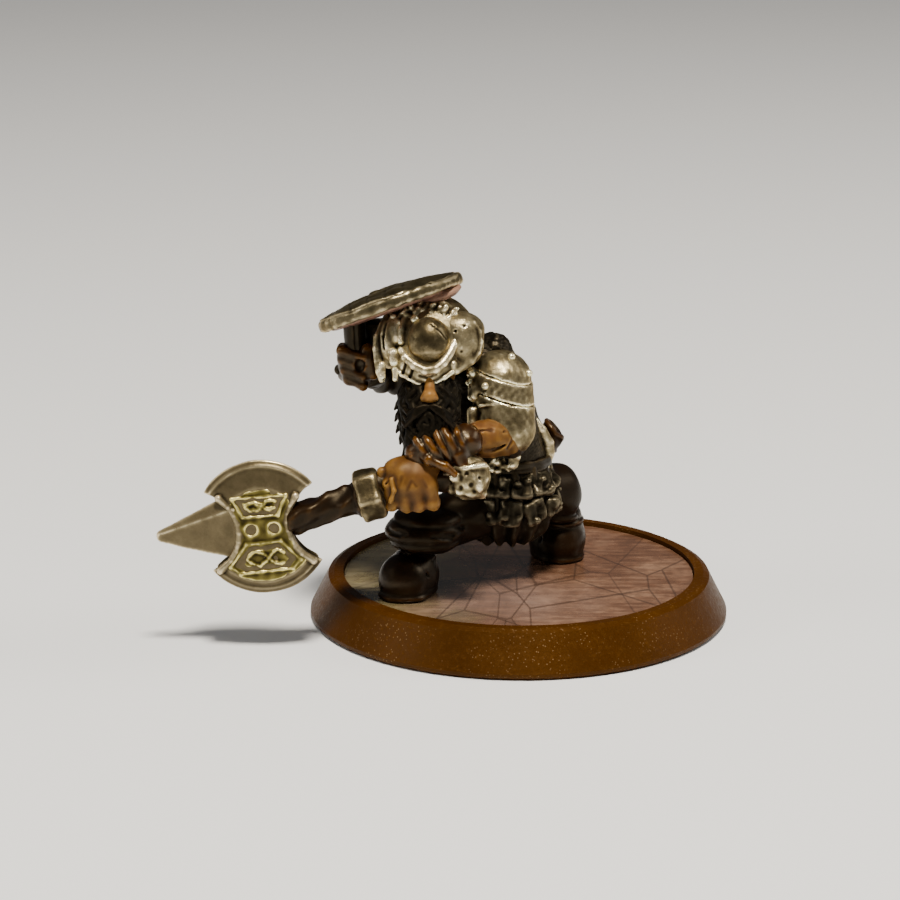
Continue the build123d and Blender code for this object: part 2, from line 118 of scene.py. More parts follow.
class Clay:
    """A block of voxels that shapes are added to and cut from."""

    def __init__(self, low, high, step=MEDIUM):
        self.low = np.array(low, float)
        self.step = step
        count = np.ceil((np.array(high, float) - self.low) / step).astype(int) + 1
        axes = [self.low[i] + step * np.arange(count[i]) for i in range(3)]
        self.axes = [axis.astype(np.float32) for axis in axes]
        self.d = np.full(tuple(count), FAR_OUTSIDE, np.float32)

    def _part(self, low, high, margin):
        picks = []
        for i in range(3):
            first = np.searchsorted(self.axes[i], low[i] - margin)
            last = np.searchsorted(self.axes[i], high[i] + margin)
            picks.append(slice(int(first), int(last)))
        x, y, z = (self.axes[i][picks[i]] for i in range(3))
        return tuple(picks), x[:, None, None], y[None, :, None], z[None, None, :]

    def stamp(self, low, high, field, blend, cut):
        picks, x, y, z = self._part(low, high, blend + 3 * self.step)
        if 0 in self.d[picks].shape:
            return
        shape = field(x, y, z)
        if cut:
            self.d[picks] = smooth_max(self.d[picks], -shape, blend)
        else:
            self.d[picks] = smooth_min(self.d[picks], shape, blend)

    def add(self, centre, reach, field, blend=0.05):
        """A shape of its own field, within reach of a centre along each axis."""
        self.stamp(centre - reach, centre + reach, field, blend, False)

    def ball(self, centre, radii, turn=(0, 0, 0), blend=0.12, cut=False):
        centre = np.array(centre, float)
        radii = np.array(radii, float) * np.ones(3)
        axes = turn_matrix(turn).T

        def field(x, y, z):
            a, b, c = into(axes, centre, x, y, z)
            k0 = np.sqrt((a / radii[0]) ** 2 + (b / radii[1]) ** 2 + (c / radii[2]) ** 2)
            k1 = np.sqrt((a / radii[0] ** 2) ** 2 + (b / radii[1] ** 2) ** 2 + (c / radii[2] ** 2) ** 2)
            return k0 * (k0 - 1) / np.maximum(k1, 1e-4)
        reach = radii.max()
        self.stamp(centre - reach, centre + reach, field, blend, cut)

    def limb(self, a, ra, b, rb, blend=0.12, cut=False, flat=1.0):
        """A tapered rod. flat below 1 squeezes it, for a level rod in height."""
        a, b = np.array(a, float), np.array(b, float)
        length = np.linalg.norm(b - a)
        axes = frame_along(b - a) if length > 1e-6 else np.eye(3)

        def field(x, y, z):
            u, v, w = into(axes, a, x, y, z)
            t = np.clip(w / max(length, 1e-6), 0, 1)
            radial = np.sqrt(u * u + (v / flat) ** 2 + (w - t * length) ** 2)
            return (radial - (ra + t * (rb - ra))) * min(flat, 1.0)
        reach = max(ra, rb)
        low, high = np.minimum(a, b) - reach, np.maximum(a, b) + reach
        self.stamp(low, high, field, blend, cut)

    def path(self, points, radii, blend=0.1, cut=False):
        """Rods from point to point. radii is one number, or one for each point."""
        radii = np.ones(len(points)) * np.array(radii)
        for i in range(len(points) - 1):
            self.limb(points[i], radii[i], points[i + 1], radii[i + 1], blend, cut)

    def ring(self, centre, normal, radius, thick, blend=0.1, cut=False, squash=1.0):
        centre = np.array(centre, float)
        axes = frame_along(normal)

        def field(x, y, z):
            u, v, w = into(axes, centre, x, y, z)
            across = np.sqrt(u * u + (v / squash) ** 2) - radius
            return np.sqrt(across ** 2 + w * w) - thick
        reach = radius * max(1, squash) + thick
        self.stamp(centre - reach, centre + reach, field, blend, cut)

    def block(self, centre, half, axes, rounding=0.1, blend=0.1, cut=False):
        """A rounded box; axes are its three directions as rows."""
        centre, half = np.array(centre, float), np.array(half, float)

        def field(x, y, z):
            q = [np.abs(c) - h + rounding for c, h in zip(into(axes, centre, x, y, z), half)]
            outside = np.sqrt(sum(np.maximum(c, 0) ** 2 for c in q))
            return outside + np.minimum(np.maximum(np.maximum(q[0], q[1]), q[2]), 0) - rounding
        reach = np.linalg.norm(half)
        self.stamp(centre - reach, centre + reach, field, blend, cut)

    def puck(self, centre, normal, radius, half, rounding=0.1, blend=0.1, cut=False):
        """A rounded disc."""
        centre = np.array(centre, float)
        axes = frame_along(normal)

        def field(x, y, z):
            u, v, w = into(axes, centre, x, y, z)
            across = np.sqrt(u * u + v * v) - radius + rounding
            deep = np.abs(w) - half + rounding
            outside = np.sqrt(np.maximum(across, 0) ** 2 + np.maximum(deep, 0) ** 2)
            return outside + np.minimum(np.maximum(across, deep), 0) - rounding
        reach = math.hypot(radius, half)
        self.stamp(centre - reach, centre + reach, field, blend, cut)

    def trim(self, point, normal, blend=0.08):
        """Cuts away everything on the side that the normal points to."""
        normal = np.array(normal, float) / np.linalg.norm(normal)

        def field(x, y, z):
            p = into([normal], point, x, y, z)[0]
            return np.broadcast_to(-p, self.d.shape)
        high = self.low + self.step * np.array(self.d.shape)
        self.stamp(self.low, high, field, blend, True)

    def grid(self):
        x, y, z = self.axes
        return x[:, None, None], y[None, :, None], z[None, None, :]

    def rough(self, size, depth, seed):
        """Dents and lumps all over."""
        self.d += (depth * waves(*self.grid(), size, seed)).astype(np.float32)

    def relief_map(self, field):
        """Raises the surface by field(x, y, z) in mm."""
        self.d -= field(*self.grid()).astype(np.float32)


# ---- From voxels to a mesh ----
CORNERS = [(i, j, k) for i in (0, 1) for j in (0, 1) for k in (0, 1)]
EDGES = [(a, b) for a in range(8) for b in range(a + 1, 8)
         if sum(abs(p - q) for p, q in zip(CORNERS[a], CORNERS[b])) == 1]


def surface(clay):
    """Surface nets: one vertex in each cell the surface crosses, one face per crossed edge."""
    d = clay.d
    for axis in range(3):
        for last in (0, -1):          # closes a shape that runs into the block's wall
            wall = d.swapaxes(0, axis)[last]
            np.maximum(wall, clay.step / 2, out=wall)
    inside = d < 0
    cells = np.zeros(tuple(s - 1 for s in d.shape), np.int8)
    nx, ny, nz = cells.shape
    for i, j, k in CORNERS:
        cells += inside[i:i + nx, j:j + ny, k:k + nz]
    active = np.argwhere((cells > 0) & (cells < 8))
    number = np.full(cells.shape, -1, np.int64)
    number[tuple(active.T)] = np.arange(len(active))
    values = np.stack([d[tuple((active + corner).T)] for corner in CORNERS], 1)
    total = np.zeros((len(active), 3))
    count = np.zeros(len(active))
    for a, b in EDGES:
        va, vb = values[:, a], values[:, b]
        crossed = (va < 0) != (vb < 0)
        t = np.where(crossed, va / np.where(crossed, va - vb, 1), 0)
        pa, pb = np.array(CORNERS[a]), np.array(CORNERS[b])
        total += crossed[:, None] * (pa + t[:, None] * (pb - pa))
        count += crossed
    points = clay.low + clay.step * (active + total / count[:, None])
    faces = []
    for axis in range(3):
        low = [slice(1, s - 1) for s in d.shape]
        low[axis] = slice(0, d.shape[axis] - 1)
        high = list(low)
        high[axis] = slice(1, d.shape[axis])
        a, b = inside[tuple(low)], inside[tuple(high)]
        start = np.array([s.start for s in low])
        for flip in (False, True):
            at = np.argwhere(b & ~a if flip else a & ~b) + start
            one, two = [i for i in range(3) if i != axis]
            step_one, step_two = np.eye(3, dtype=int)[one], np.eye(3, dtype=int)[two]
            square = [at - step_one - step_two, at - step_two, at, at - step_one]
            quad = np.stack([number[tuple(c.T)] for c in square], 1)
            if flip != (axis == 1):
                quad = quad[:, ::-1]
            faces.append(quad)
    return points, np.concatenate(faces)


FINE_ROUNDS = 4           # rounds of averaging that take away small shape
WIDE_ROUNDS = 26          # and broad shape
FINE_RIDGE = 0.21         # heights over the average, in voxels, of a full ridge
WIDE_RIDGE = 0.85


def spread(values, edges, count, rounds):
    """Averages values over mesh neighbours."""
    degree = np.bincount(edges.ravel(), minlength=count).astype(float)
    for _ in range(rounds):
        total = np.empty_like(values)
        for i in range(values.shape[1]):
            column = values[:, i]
            total[:, i] = (np.bincount(edges[:, 0], column[edges[:, 1]], count)
                           + np.bincount(edges[:, 1], column[edges[:, 0]], count))
        values = 0.5 * values + 0.5 * total / np.maximum(degree, 1)[:, None]
    return values


def wash_shade_highlight_of(points, normals, edges, step):
    """From -1 in the hollows to 1 on the ridges: where a wash pools and a dry brush catches, and also
    where painted shade darkens the hollows and painted highlight brightens the ridges.
    """
    count = len(points)
    near = spread(points, edges, count, FINE_ROUNDS)
    wide = spread(near, edges, count, WIDE_ROUNDS)
    fine = np.sum((points - near) * normals, 1) / (FINE_RIDGE * step)
    broad = np.sum((points - wide) * normals, 1) / (WIDE_RIDGE * step)
    return np.clip(0.45 * np.clip(fine, -1, 1) + 0.6 * np.clip(broad, -1.2, 1.2), -1, 1)


def make_mesh(name, points, faces):
    mesh = bpy.data.meshes.new(name)
    mesh.vertices.add(len(points))
    mesh.vertices.foreach_set("co", (points * MM).astype(np.float32).ravel())
    mesh.loops.add(faces.size)
    mesh.loops.foreach_set("vertex_index", faces.astype(np.int32).ravel())
    mesh.polygons.add(len(faces))
    mesh.polygons.foreach_set("loop_start", np.arange(0, faces.size, 4, dtype=np.int32))
    mesh.update(calc_edges=True)
    mesh.validate()
    mesh.polygons.foreach_set("use_smooth", np.ones(len(mesh.polygons), bool))
    return mesh


def without_crumbs(points, faces, crumb=60):
    """Drops loose shells of only a few vertices."""
    label = np.arange(len(points))
    pairs = np.concatenate([faces[:, [0, 1]], faces[:, [1, 2]], faces[:, [2, 3]], faces[:, [3, 0]]])
    while True:
        low = np.minimum(label[pairs[:, 0]], label[pairs[:, 1]])
        new = label.copy()
        np.minimum.at(new, pairs[:, 0], low)
        np.minimum.at(new, pairs[:, 1], low)
        new = new[new]
        if np.array_equal(new, label):
            break
        label = new
    sizes = np.bincount(label, minlength=len(points))
    keep = sizes[label] > crumb
    renumber = np.cumsum(keep) - 1
    good = keep[faces].all(1)
    return points[keep], renumber[faces[good]]


def sculpt(name, clay, material, nodes):
    """Turns the clay into a piece that stands for the CAD nodes."""
    points, faces = without_crumbs(*surface(clay))
    mesh = make_mesh(name, points, faces)
    count = len(mesh.vertices)
    flat = np.empty(count * 3, np.float32)
    mesh.vertices.foreach_get("co", flat)
    points = flat.reshape(-1, 3) / MM
    mesh.vertex_normals.foreach_get("vector", flat)
    normals = flat.reshape(-1, 3)
    edges = np.empty(len(mesh.edges) * 2, np.int32)
    mesh.edges.foreach_get("vertices", edges)
    edges = edges.reshape(-1, 2)
    # A curvature tone for the paint: wash and dry brush, and also painted shade in the hollows and
    # painted highlight on the ridges.
    wash_shade_highlight = wash_shade_highlight_of(points.astype(float), normals, edges, clay.step)
    layer = mesh.attributes.new("wash_shade_highlight", "FLOAT", "POINT")
    layer.data.foreach_set("value", wash_shade_highlight.astype(np.float32))
    piece = bpy.data.objects.new(name, mesh)
    bpy.context.scene.collection.objects.link(piece)
    piece.data.materials.append(material)
    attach(piece, "root")
    if nodes:
        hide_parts(*nodes)
    print(f"{name}: {count} vertices")


def block_round(points, margin, step):
    """Clay that covers some points and a margin."""
    return Clay(np.min(points, 0) - margin, np.max(points, 0) + margin, step)


def block_for(nodes, margin, step):
    """Clay that covers the boxes of some CAD nodes and a margin."""
    boxes = [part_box(node) for node in nodes]
    low = np.min([box[0] for box in boxes], 0) / MM - margin
    high = np.max([box[1] for box in boxes], 0) / MM + margin
    return Clay(low, high, step)


PIECES = []               # what builds each sculpted piece, in order


def piece(name, paint, slot_name, *nodes, around=(), corners=(), margin=0.8, step=FINE):
    """Makes a piece of a function that shapes a block of clay.

    The piece stands for the CAD nodes. The block covers their boxes, or those of the nodes
    in around, or the points in corners.
    """
    def register(shape):
        def build():
            if len(corners):
                clay = block_round(corners, margin, step)
            else:
                clay = block_for(around or nodes, margin, step)
            shape(clay)
            sculpt(name, clay, paint, nodes)
        PIECES.append(build)
        return shape
    return register


# ---- Paint ----
def link(tree, source, target):
    tree.links.new(source, target)


def add_node(tree, kind, **settings):
    node = tree.nodes.new(kind)
    for key, value in settings.items():
        if key in node.inputs:
            node.inputs[key].default_value = value
        else:
            setattr(node, key, value)
    return node


def noise(tree, coords, scale, detail=4.0, roughness=0.55):
    node = add_node(tree, "ShaderNodeTexNoise", Scale=scale, Detail=detail, Roughness=roughness)
    link(tree, coords, node.inputs["Vector"])
    return node.outputs["Fac"]


def math_node(tree, operation, a, b):
    node = add_node(tree, "ShaderNodeMath", operation=operation)
    for socket, value in zip(node.inputs, (a, b)):
        if isinstance(value, (int, float)):
            socket.default_value = value
        else:
            link(tree, value, socket)
    return node.outputs[0]


def span(tree, value, from_low, from_high, to_low, to_high):
    node = add_node(tree, "ShaderNodeMapRange", **{
        "From Min": from_low, "From Max": from_high, "To Min": to_low, "To Max": to_high})
    link(tree, value, node.inputs["Value"])
    return node.outputs["Result"]


def ramp(tree, value, tones):
    node = add_node(tree, "ShaderNodeValToRGB")
    stops = node.color_ramp.elements
    while len(stops) < len(tones):
        stops.new(0.5)
    for stop, (position, colour) in zip(stops, tones):
        stop.position = position
        stop.color = (*colour, 1.0)
    link(tree, value, node.inputs["Fac"])
    return node.outputs["Color"]


def mix(tree, factor, one, two):
    node = add_node(tree, "ShaderNodeMix", data_type="RGBA")
    colour_inputs = [s for s in node.inputs if s.type == "RGBA"]
    link(tree, factor, node.inputs["Factor"])
    for socket, value in zip(colour_inputs, (one, two)):
        if isinstance(value, tuple):
            socket.default_value = (*value, 1.0)
        else:
            link(tree, value, socket)
    return [s for s in node.outputs if s.type == "RGBA"][0]


def new_material(name):
    material = bpy.data.materials.new(name)
    material.use_nodes = True
    tree = material.node_tree
    shader = tree.nodes["Principled BSDF"]
    coords = add_node(tree, "ShaderNodeTexCoord").outputs["Object"]
    return material, tree, shader, coords


def bumped(tree, shader, height, strength, distance_mm):
    bump = add_node(tree, "ShaderNodeBump", Strength=strength, Distance=distance_mm * MM)
    link(tree, height, bump.inputs["Height"])
    link(tree, bump.outputs["Normal"], shader.inputs["Normal"])


PATCH_SCALE = 750         # noise scales, in cycles per metre
SPECK_SCALE = 3200
TINT_SCALE = 330
VARNISH_TINT = (1.0, 0.82, 0.55, 1.0)


def brushed_paint(name, tones, rough, metallic=0.0, mottle=0.5, grain=0.4, tint=None, gloss=0.35):
    """Hobby paint: dark where the wash pools, bright where the dry brush caught; the same tones also
    paint shade into the hollows and highlight onto the ridges.

    tones run from the deepest hollow at 0 to the sharpest ridge at 1, and rough has the
    roughness of both. tint is a second colour that lies over it in patches, with its strength.
    """
    material, tree, shader, coords = new_material(name)
    wash_shade_highlight = add_node(tree, "ShaderNodeAttribute", attribute_name="wash_shade_highlight").outputs["Fac"]
    patches = noise(tree, coords, PATCH_SCALE, 3)
    speck = noise(tree, coords, SPECK_SCALE, 5, 0.7)
    shift = math_node(tree, "MULTIPLY", math_node(tree, "SUBTRACT", patches, 0.5), mottle * 1.6)
    flecks = math_node(tree, "MULTIPLY", math_node(tree, "SUBTRACT", speck, 0.5), mottle * 0.9)
    total = math_node(tree, "ADD", math_node(tree, "ADD", wash_shade_highlight, shift), flecks)
    # Dark hollows and bright ridges: the real wash and dry brush, and also painted shade and painted
    # highlight.
    colour = ramp(tree, span(tree, total, -1, 1, 0, 1), tones)
    if tint:
        tint_colour, strength = tint
        cover = span(tree, noise(tree, coords, TINT_SCALE, 3), 0.45, 0.65, 0, strength)
        colour = mix(tree, cover, colour, tint_colour)
    link(tree, colour, shader.inputs["Base Color"])
    link(tree, span(tree, total, -1, 1, *rough), shader.inputs["Roughness"])
    shader.inputs["Metallic"].default_value = metallic
    shader.inputs["Specular IOR Level"].default_value = gloss
    shader.inputs["Specular Tint"].default_value = VARNISH_TINT
    bumped(tree, shader, speck, grain, 0.05)
    return material


# The steel's top tone is brighter than white: a painted highlight on its sharpest ridges.
STEEL = brushed_paint(
    "steel_paint",
    [(0, (0.0045, 0.0032, 0.0015)), (0.3, (0.035, 0.026, 0.013)), (0.5, (0.129, 0.104, 0.057)),
     (0.72, (0.296, 0.249, 0.145)), (1, (1.2, 1.055, 0.708))],
    (0.48, 0.24), metallic=0.8, mottle=0.95, grain=0.8)
DARK_STEEL = brushed_paint(
    "dark_steel_paint",
    [(0, (0.0037, 0.0028, 0.0014)), (0.4, (0.021, 0.016, 0.0084)), (0.62, (0.065, 0.051, 0.026)),
     (1, (0.401, 0.328, 0.189))],
    (0.45, 0.28), metallic=0.8, mottle=0.8)
DARK_PLATES = brushed_paint(
    "plate_paint",
    [(0, (0.00065, 0.0005, 0.00034)), (0.4, (0.005, 0.0043, 0.0024)),
     (0.62, (0.016, 0.013, 0.0077)), (0.8, (0.039, 0.032, 0.02)), (1, (0.133, 0.113, 0.074))],
    (0.5, 0.32), metallic=0.6, mottle=0.7)
AXE_STEEL = brushed_paint(
    "axe_steel_paint",
    [(0, (0.005, 0.0036, 0.0015)), (0.3, (0.039, 0.03, 0.015)), (0.55, (0.116, 0.092, 0.05)),
     (0.78, (0.241, 0.201, 0.118)), (1, (0.763, 0.65, 0.423))],
    (0.45, 0.28), metallic=0.6, mottle=0.4)
SHIELD_STEEL = brushed_paint(
    "shield_paint",
    [(0, (0.0035, 0.0025, 0.0013)), (0.35, (0.02, 0.016, 0.0079)), (0.6, (0.058, 0.048, 0.025)),
     (0.8, (0.115, 0.094, 0.053)), (1, (0.513, 0.437, 0.267))],
    (0.5, 0.3), metallic=0.72, mottle=0.9)
SKIN = brushed_paint(
    "skin_paint",
    [(0, (0.011, 0.0031, 0.00031)), (0.35, (0.044, 0.015, 0.0017)), (0.6, (0.09, 0.037, 0.0049)),
     (1, (0.217, 0.108, 0.02))],
    (0.6, 0.42), mottle=0.5, grain=0.2, tint=((0.20, 0.075, 0.03), 0.25))
BEARD = brushed_paint(
    "beard_paint",
    [(0, (0.0002, 0.0002, 0.0002)), (0.6, (0.00055, 0.00042, 0.00028)),
     (0.85, (0.0019, 0.0013, 0.00077)), (1, (0.0067, 0.0044, 0.0026))],
    (0.6, 0.42), mottle=0.3, gloss=0.12)
MAIL = brushed_paint(
    "mail_paint",
    [(0, (0.0006, 0.00053, 0.00043)), (0.55, (0.0024, 0.002, 0.0013)),
     (0.8, (0.011, 0.0086, 0.0059)), (1, (0.058, 0.048, 0.032))],
    (0.5, 0.35), metallic=0.5, mottle=0.4)
CLOTH = brushed_paint(
    "cloth_paint",
    [(0, (0.0006, 0.00035, 0.0002)), (0.5, (0.0024, 0.0015, 0.00081)),
     (0.8, (0.007, 0.0047, 0.0023)), (1, (0.029, 0.02, 0.0099))],
    (0.5, 0.35), mottle=0.35, gloss=0.25)
BROWN = brushed_paint(
    "trouser_paint",
    [(0, (0.00076, 0.0003, 0.0002)), (0.45, (0.0049, 0.0016, 0.00035)),
     (0.75, (0.012, 0.004, 0.0008)), (1, (0.038, 0.015, 0.0038))],
    (0.45, 0.3), mottle=0.35, gloss=0.3)
TROUSERS = brushed_paint(
    "dark_trouser_paint",
    [(0, (0.0005, 0.0002, 0.0002)), (0.45, (0.0031, 0.0012, 0.0003)),
     (0.75, (0.0075, 0.003, 0.0007)), (1, (0.027, 0.012, 0.0033))],
    (0.5, 0.36), mottle=0.35, gloss=0.18)
GOLDEN_LEATHER = brushed_paint(
    "golden_leather_paint",
    [(0, (0.0011, 0.00022, 0.0002)), (0.38, (0.0069, 0.0015, 0.0002)),
     (0.66, (0.017, 0.0046, 0.00024)), (1, (0.111, 0.042, 0.0047))],
    (0.42, 0.25), mottle=0.35, gloss=0.45)
WOOD = brushed_paint(
    "haft_paint",
    [(0, (0.00064, 0.00024, 0.0002)), (0.45, (0.0038, 0.0013, 0.00033)),
     (0.75, (0.011, 0.0043, 0.001)), (1, (0.037, 0.018, 0.0054))],
    (0.48, 0.34), mottle=0.5, gloss=0.22)
AXE_GILT = brushed_paint(
    "axe_ornament_paint",
    [(0, (0.0036, 0.0025, 0.00033)), (0.3, (0.033, 0.025, 0.0038)), (0.55, (0.11, 0.091, 0.02)),
     (0.78, (0.2, 0.172, 0.049)), (1, (0.873, 0.76, 0.291))],
    (0.42, 0.26), metallic=0.55, mottle=0.4)
LINING = brushed_paint(
    "lining_paint",
    [(0, (0.039, 0.016, 0.011)), (0.5, (0.137, 0.065, 0.045)), (1, (0.242, 0.136, 0.097))],
    (0.5, 0.4), mottle=0.3)


# ---- Landmarks of the figure, from the CAD boxes, and points on it ----
HELM = spot("helmet_boss")
SHOULDER = spot("pauldron_top", -0.18, 0, -1.24)
ELBOW = spot("elbow_plate", 0.63, -1.19, -0.86)
WRIST = spot("left_bracer", 0, 0, -0.05)
FIST = spot("left_fist", -0.45, 0, -0.88)
POMMEL = spot("axe_pommel")
COLLAR = spot("axe_collar")
HAFT_TOP = spot("axe_haft", -6.05, -0.08, -1.45)
AXE = spot("axe_head")
SPIKE_TIP = spot("axe_spike", -3.26, 0, -0.66)
SHIELD = spot("shield_rim", -0.2, 0.06, 1.05)
RIGHT_FIST = spot("right_fist", 0, 0, 0.05)
RIGHT_ELBOW = spot("right_forearm", 0.34, 0.72, -0.25)
RIGHT_SHOULDER = spot("right_upper_arm", 2.3, 0.26, 0)
WAIST = spot("belt")
HIPS = spot("skirt", 0, 0, 0.43)
CHEST = spot("torso", -0.8, -0.6, 1.2)
NAPE = spot("torso", -0.9, -1.4, 4.1)
FRONT_KNEE = spot("front_leg", -2.5, -1.75, -0.83)
FRONT_HIP = spot("front_leg", 3.1, 2.35, 0.47)
FRONT_ANKLE = spot("front_boot", 0.78, 0.92, 2.08)
FRONT_FOOT = spot("front_boot", -0.07, -0.08, 0.38)
REAR_FOOT = spot("rear_boot", 0, -0.07, -0.15)
REAR_SHIN = spot("rear_boot", 0.25, 0.03, 1.95)
REAR_KNEE = spot("rear_leg", 1.48, 1.25, -0.14)
REAR_HIP = spot("rear_leg", -1.32, -1.05, 1.16)
DISC_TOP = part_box("base_disc")[1][2] / MM
SOLE_LIFT = 0.32          # the middle of a boot's sole over the disc


def helm(right, up, out=0.0):
    """A point of the head or helmet, from the helmet's ball."""
    return HELM + right * RIGHT + up * UP + out * OUT


def on_front(centre, radii):
    """A function from (right, up, lift) to a point on the front of an ellipsoid of the helmet."""
    def point(right, up, lift=0.0):
        a = (right - centre[0]) / radii[0]
        b = (up - centre[1]) / radii[1]
        out = centre[2] + radii[2] * math.sqrt(max(0.0, 1 - a * a - b * b))
        return helm(right, up, out + lift)
    return point


def upright_ball(clay, centre, radii, **how):
    """An ellipsoid whose radii lie along right, up and out of the helmet's relief."""
    turn = (-math.degrees(RELIEF_TILT), 0, 0)
    clay.ball(helm(*centre), (radii[0], radii[2], radii[1]), turn, **how)


def grooves(clay, origin, rows):
    """Cuts creases: each row has its points, from the origin, its radius or radii and its blend."""
    for points, radius, blend in rows:
        clay.path([origin + p for p in points], radius, blend=blend, cut=True)


# ---- Helmet ----
@piece("helmet_bowl", STEEL, "steel_paint", "helmet_shell", around=("helmet_shell", "helmet_boss"),
       margin=1.0)
def helmet_shell(clay):
    centre, radii = (0.1, 0.15, -3.6), (3.85, 3.95, 3.4)
    upright_ball(clay, centre, radii)
    upright_ball(clay, (1.5, 0.7, -2.9), (2.3, 2.1, 2.2), blend=0.6)
    upright_ball(clay, (-1.7, 0.6, -2.7), (1.7, 1.9, 2.0), blend=0.5)
    skin = on_front(centre, radii)
    clay.path([skin(-2.0, 1.9), skin(-2.3, 0.9, 0.2), skin(-2.3, -0.1, 0.3)], 0.26, blend=0.25)
    clay.path([skin(2.25, 1.5, 0.3), skin(2.4, 0.6, 0.35), skin(2.35, -0.4, 0.2)], 0.13,
              blend=0.12, cut=True)
    clay.ball(skin(1.75, 1.45, 0.32), 0.16, cut=True, blend=0.04)
    clay.trim(helm(0, -2.4, -3.0), -0.95 * UP - 0.3 * OUT)
    clay.rough(1.3, 0.035, 3)


@piece("helmet_ball", DARK_STEEL, "steel_paint", "helmet_boss", margin=0.6)
def helmet_boss(clay):
    centre, radii = (0.0, 0.05, -0.45), (1.76, 1.92, 1.5)
    upright_ball(clay, centre, radii)
    clay.limb(helm(0.05, -0.9, -0.5), 1.2, helm(0.12, -1.85, -0.6), 0.4, blend=0.5)
    skin = on_front(centre, radii)
    clay.path([skin(0.2, 1.35), skin(0.8, 0.85), skin(1.2, 0.4), skin(1.45, 0.1)], 0.055,
              blend=0.05, cut=True)
    clay.rough(1.1, 0.02, 5)


@piece("helmet_brow_rim", STEEL, "steel_paint", "helmet_crescent", margin=0.9)
def helmet_crescent(clay):
    route = [(-2.3, -0.75, -0.5), (-1.9, -1.4, -0.1), (-1.15, -2.05, 0.15), (-0.25, -2.45, 0.3),
             (0.6, -2.35, 0.25), (1.2, -1.85, 0.1), (1.7, -1.15, -0.2), (2.05, -0.4, -0.5),
             (2.2, 0.15, -0.75)]
    points = [helm(*p) for p in route]
    clay.path(points, [0.24, 0.32, 0.37, 0.4, 0.4, 0.37, 0.35, 0.32, 0.26], blend=0.1)
    clay.rough(0.8, 0.03, 8)


@piece("helmet_brow_plate", STEEL, "steel_paint", "helmet_visor", margin=0.9)
def helmet_visor(clay):
    centre, radii = (-0.2, -1.75, -2.15), (3.1, 2.6, 2.25)
    upright_ball(clay, centre, radii)
    skin = on_front(centre, radii)
    tip, left, right = (-0.1, -3.75), (-2.75, -2.2), (1.95, -2.55)
    clay.trim(helm(*tip), -0.50 * RIGHT - 0.86 * UP)
    clay.trim(helm(*tip), 0.50 * RIGHT - 0.86 * UP)
    edge = [left, (-2.2, -2.75), (-1.55, -3.1), (-0.8, -3.5), tip, (0.6, -3.4), (1.3, -3.0), right]
    clay.path([skin(*p, 0.0) for p in edge], 0.2, blend=0.12)
    for start, end in (((-1.9, -1.9), (-2.1, -2.7)), ((-1.3, -2.4), (-1.5, -3.0))):
        clay.path([skin(*start), skin(*end)], 0.13, blend=0.12, cut=True)
    clay.path([skin(-0.7, -2.9, 0.02), skin(-0.05, -3.1, 0.02), skin(0.6, -2.8, 0.02)], 0.1,
              blend=0.15, cut=True)
    clay.rough(0.9, 0.035, 11)


@piece("helmet_left_guard", STEEL, "steel_paint", "helmet_lobe_left")
def helmet_left_guard(clay):
    """The smooth guard over its left ear, which flows out of the bowl to a raised edge."""
    centre, radii = (2.75, 0.05, -2.6), (1.8, 2.2, 2.3)
    upright_ball(clay, centre, radii)
    upright_ball(clay, (2.3, 1.1, -2.6), (2.2, 1.5, 2.1), blend=0.5)
    skin = on_front(centre, radii)
    rim = [(2.9, 2.0), (3.6, 1.45), (4.1, 0.8), (4.25, 0.0), (4.05, -0.9), (3.5, -1.55)]
    clay.path([skin(*p, -0.05) for p in rim], 0.22, blend=0.2)
    clay.limb(helm(3.1, -1.5, -1.5), 0.65, helm(2.2, -2.3, -1.2), 0.5, blend=0.4)
    clay.limb(helm(2.0, -1.9, -0.9), 0.4, helm(1.6, -2.5, -0.75), 0.3, blend=0.2)
    for right, up in ((2.2, 0.8), (2.9, 1.2), (1.9, -0.5), (2.7, -0.9)):
        clay.ball(skin(right, up, 0.05), 0.13, cut=True, blend=0.08)
    clay.rough(1.2, 0.045, 13)


@piece("helmet_right_guard", STEEL, "steel_paint", "helmet_lobe_right", margin=0.9)
def helmet_right_guard(clay):
    """The crescent guard over its right ear, seen on edge."""
    upright_ball(clay, (-3.3, 0.1, -2.8), (1.0, 2.35, 2.2))
    rim = [(-2.3, 2.45, -2.1), (-3.1, 2.1, -1.9), (-3.8, 1.3, -1.8), (-4.2, 0.3, -1.8),
           (-4.3, -0.7, -1.7), (-4.2, -1.7, -1.6), (-4.0, -2.5, -1.5), (-3.85, -3.2, -1.4)]
    clay.path([helm(*p) for p in rim], [0.22, 0.27, 0.32, 0.36, 0.36, 0.33, 0.36, 0.26], blend=0.1)
    upright_ball(clay, (-2.85, 0.75, -1.3), (0.8, 1.35, 0.8), blend=0.12)
    clay.path([helm(-3.6, 1.4, -1.0), helm(-3.75, 0.4, -1.0), helm(-3.6, -0.6, -1.0)], 0.16,
              blend=0.12, cut=True)
    clay.limb(helm(-3.2, -0.5, -1.1), 0.42, helm(-2.75, -1.2, -0.9), 0.35, blend=0.15)
    clay.rough(0.9, 0.04, 17)


@piece("helmet_fringe", STEEL, "steel_paint", "helmet_prongs")
def helmet_prongs(clay):
    clay.limb(helm(-2.95, -1.0, -0.7), 0.42, helm(-2.85, -1.75, -0.65), 0.36, blend=0.1)
    clay.limb(helm(-3.85, -2.0, -1.1), 0.34, helm(-3.8, -3.0, -1.05), 0.28, blend=0.1)
    clay.limb(helm(-2.75, -2.4, -0.9), 0.28, helm(-2.7, -3.15, -0.85), 0.24, blend=0.1)
    clay.rough(0.5, 0.04, 19)


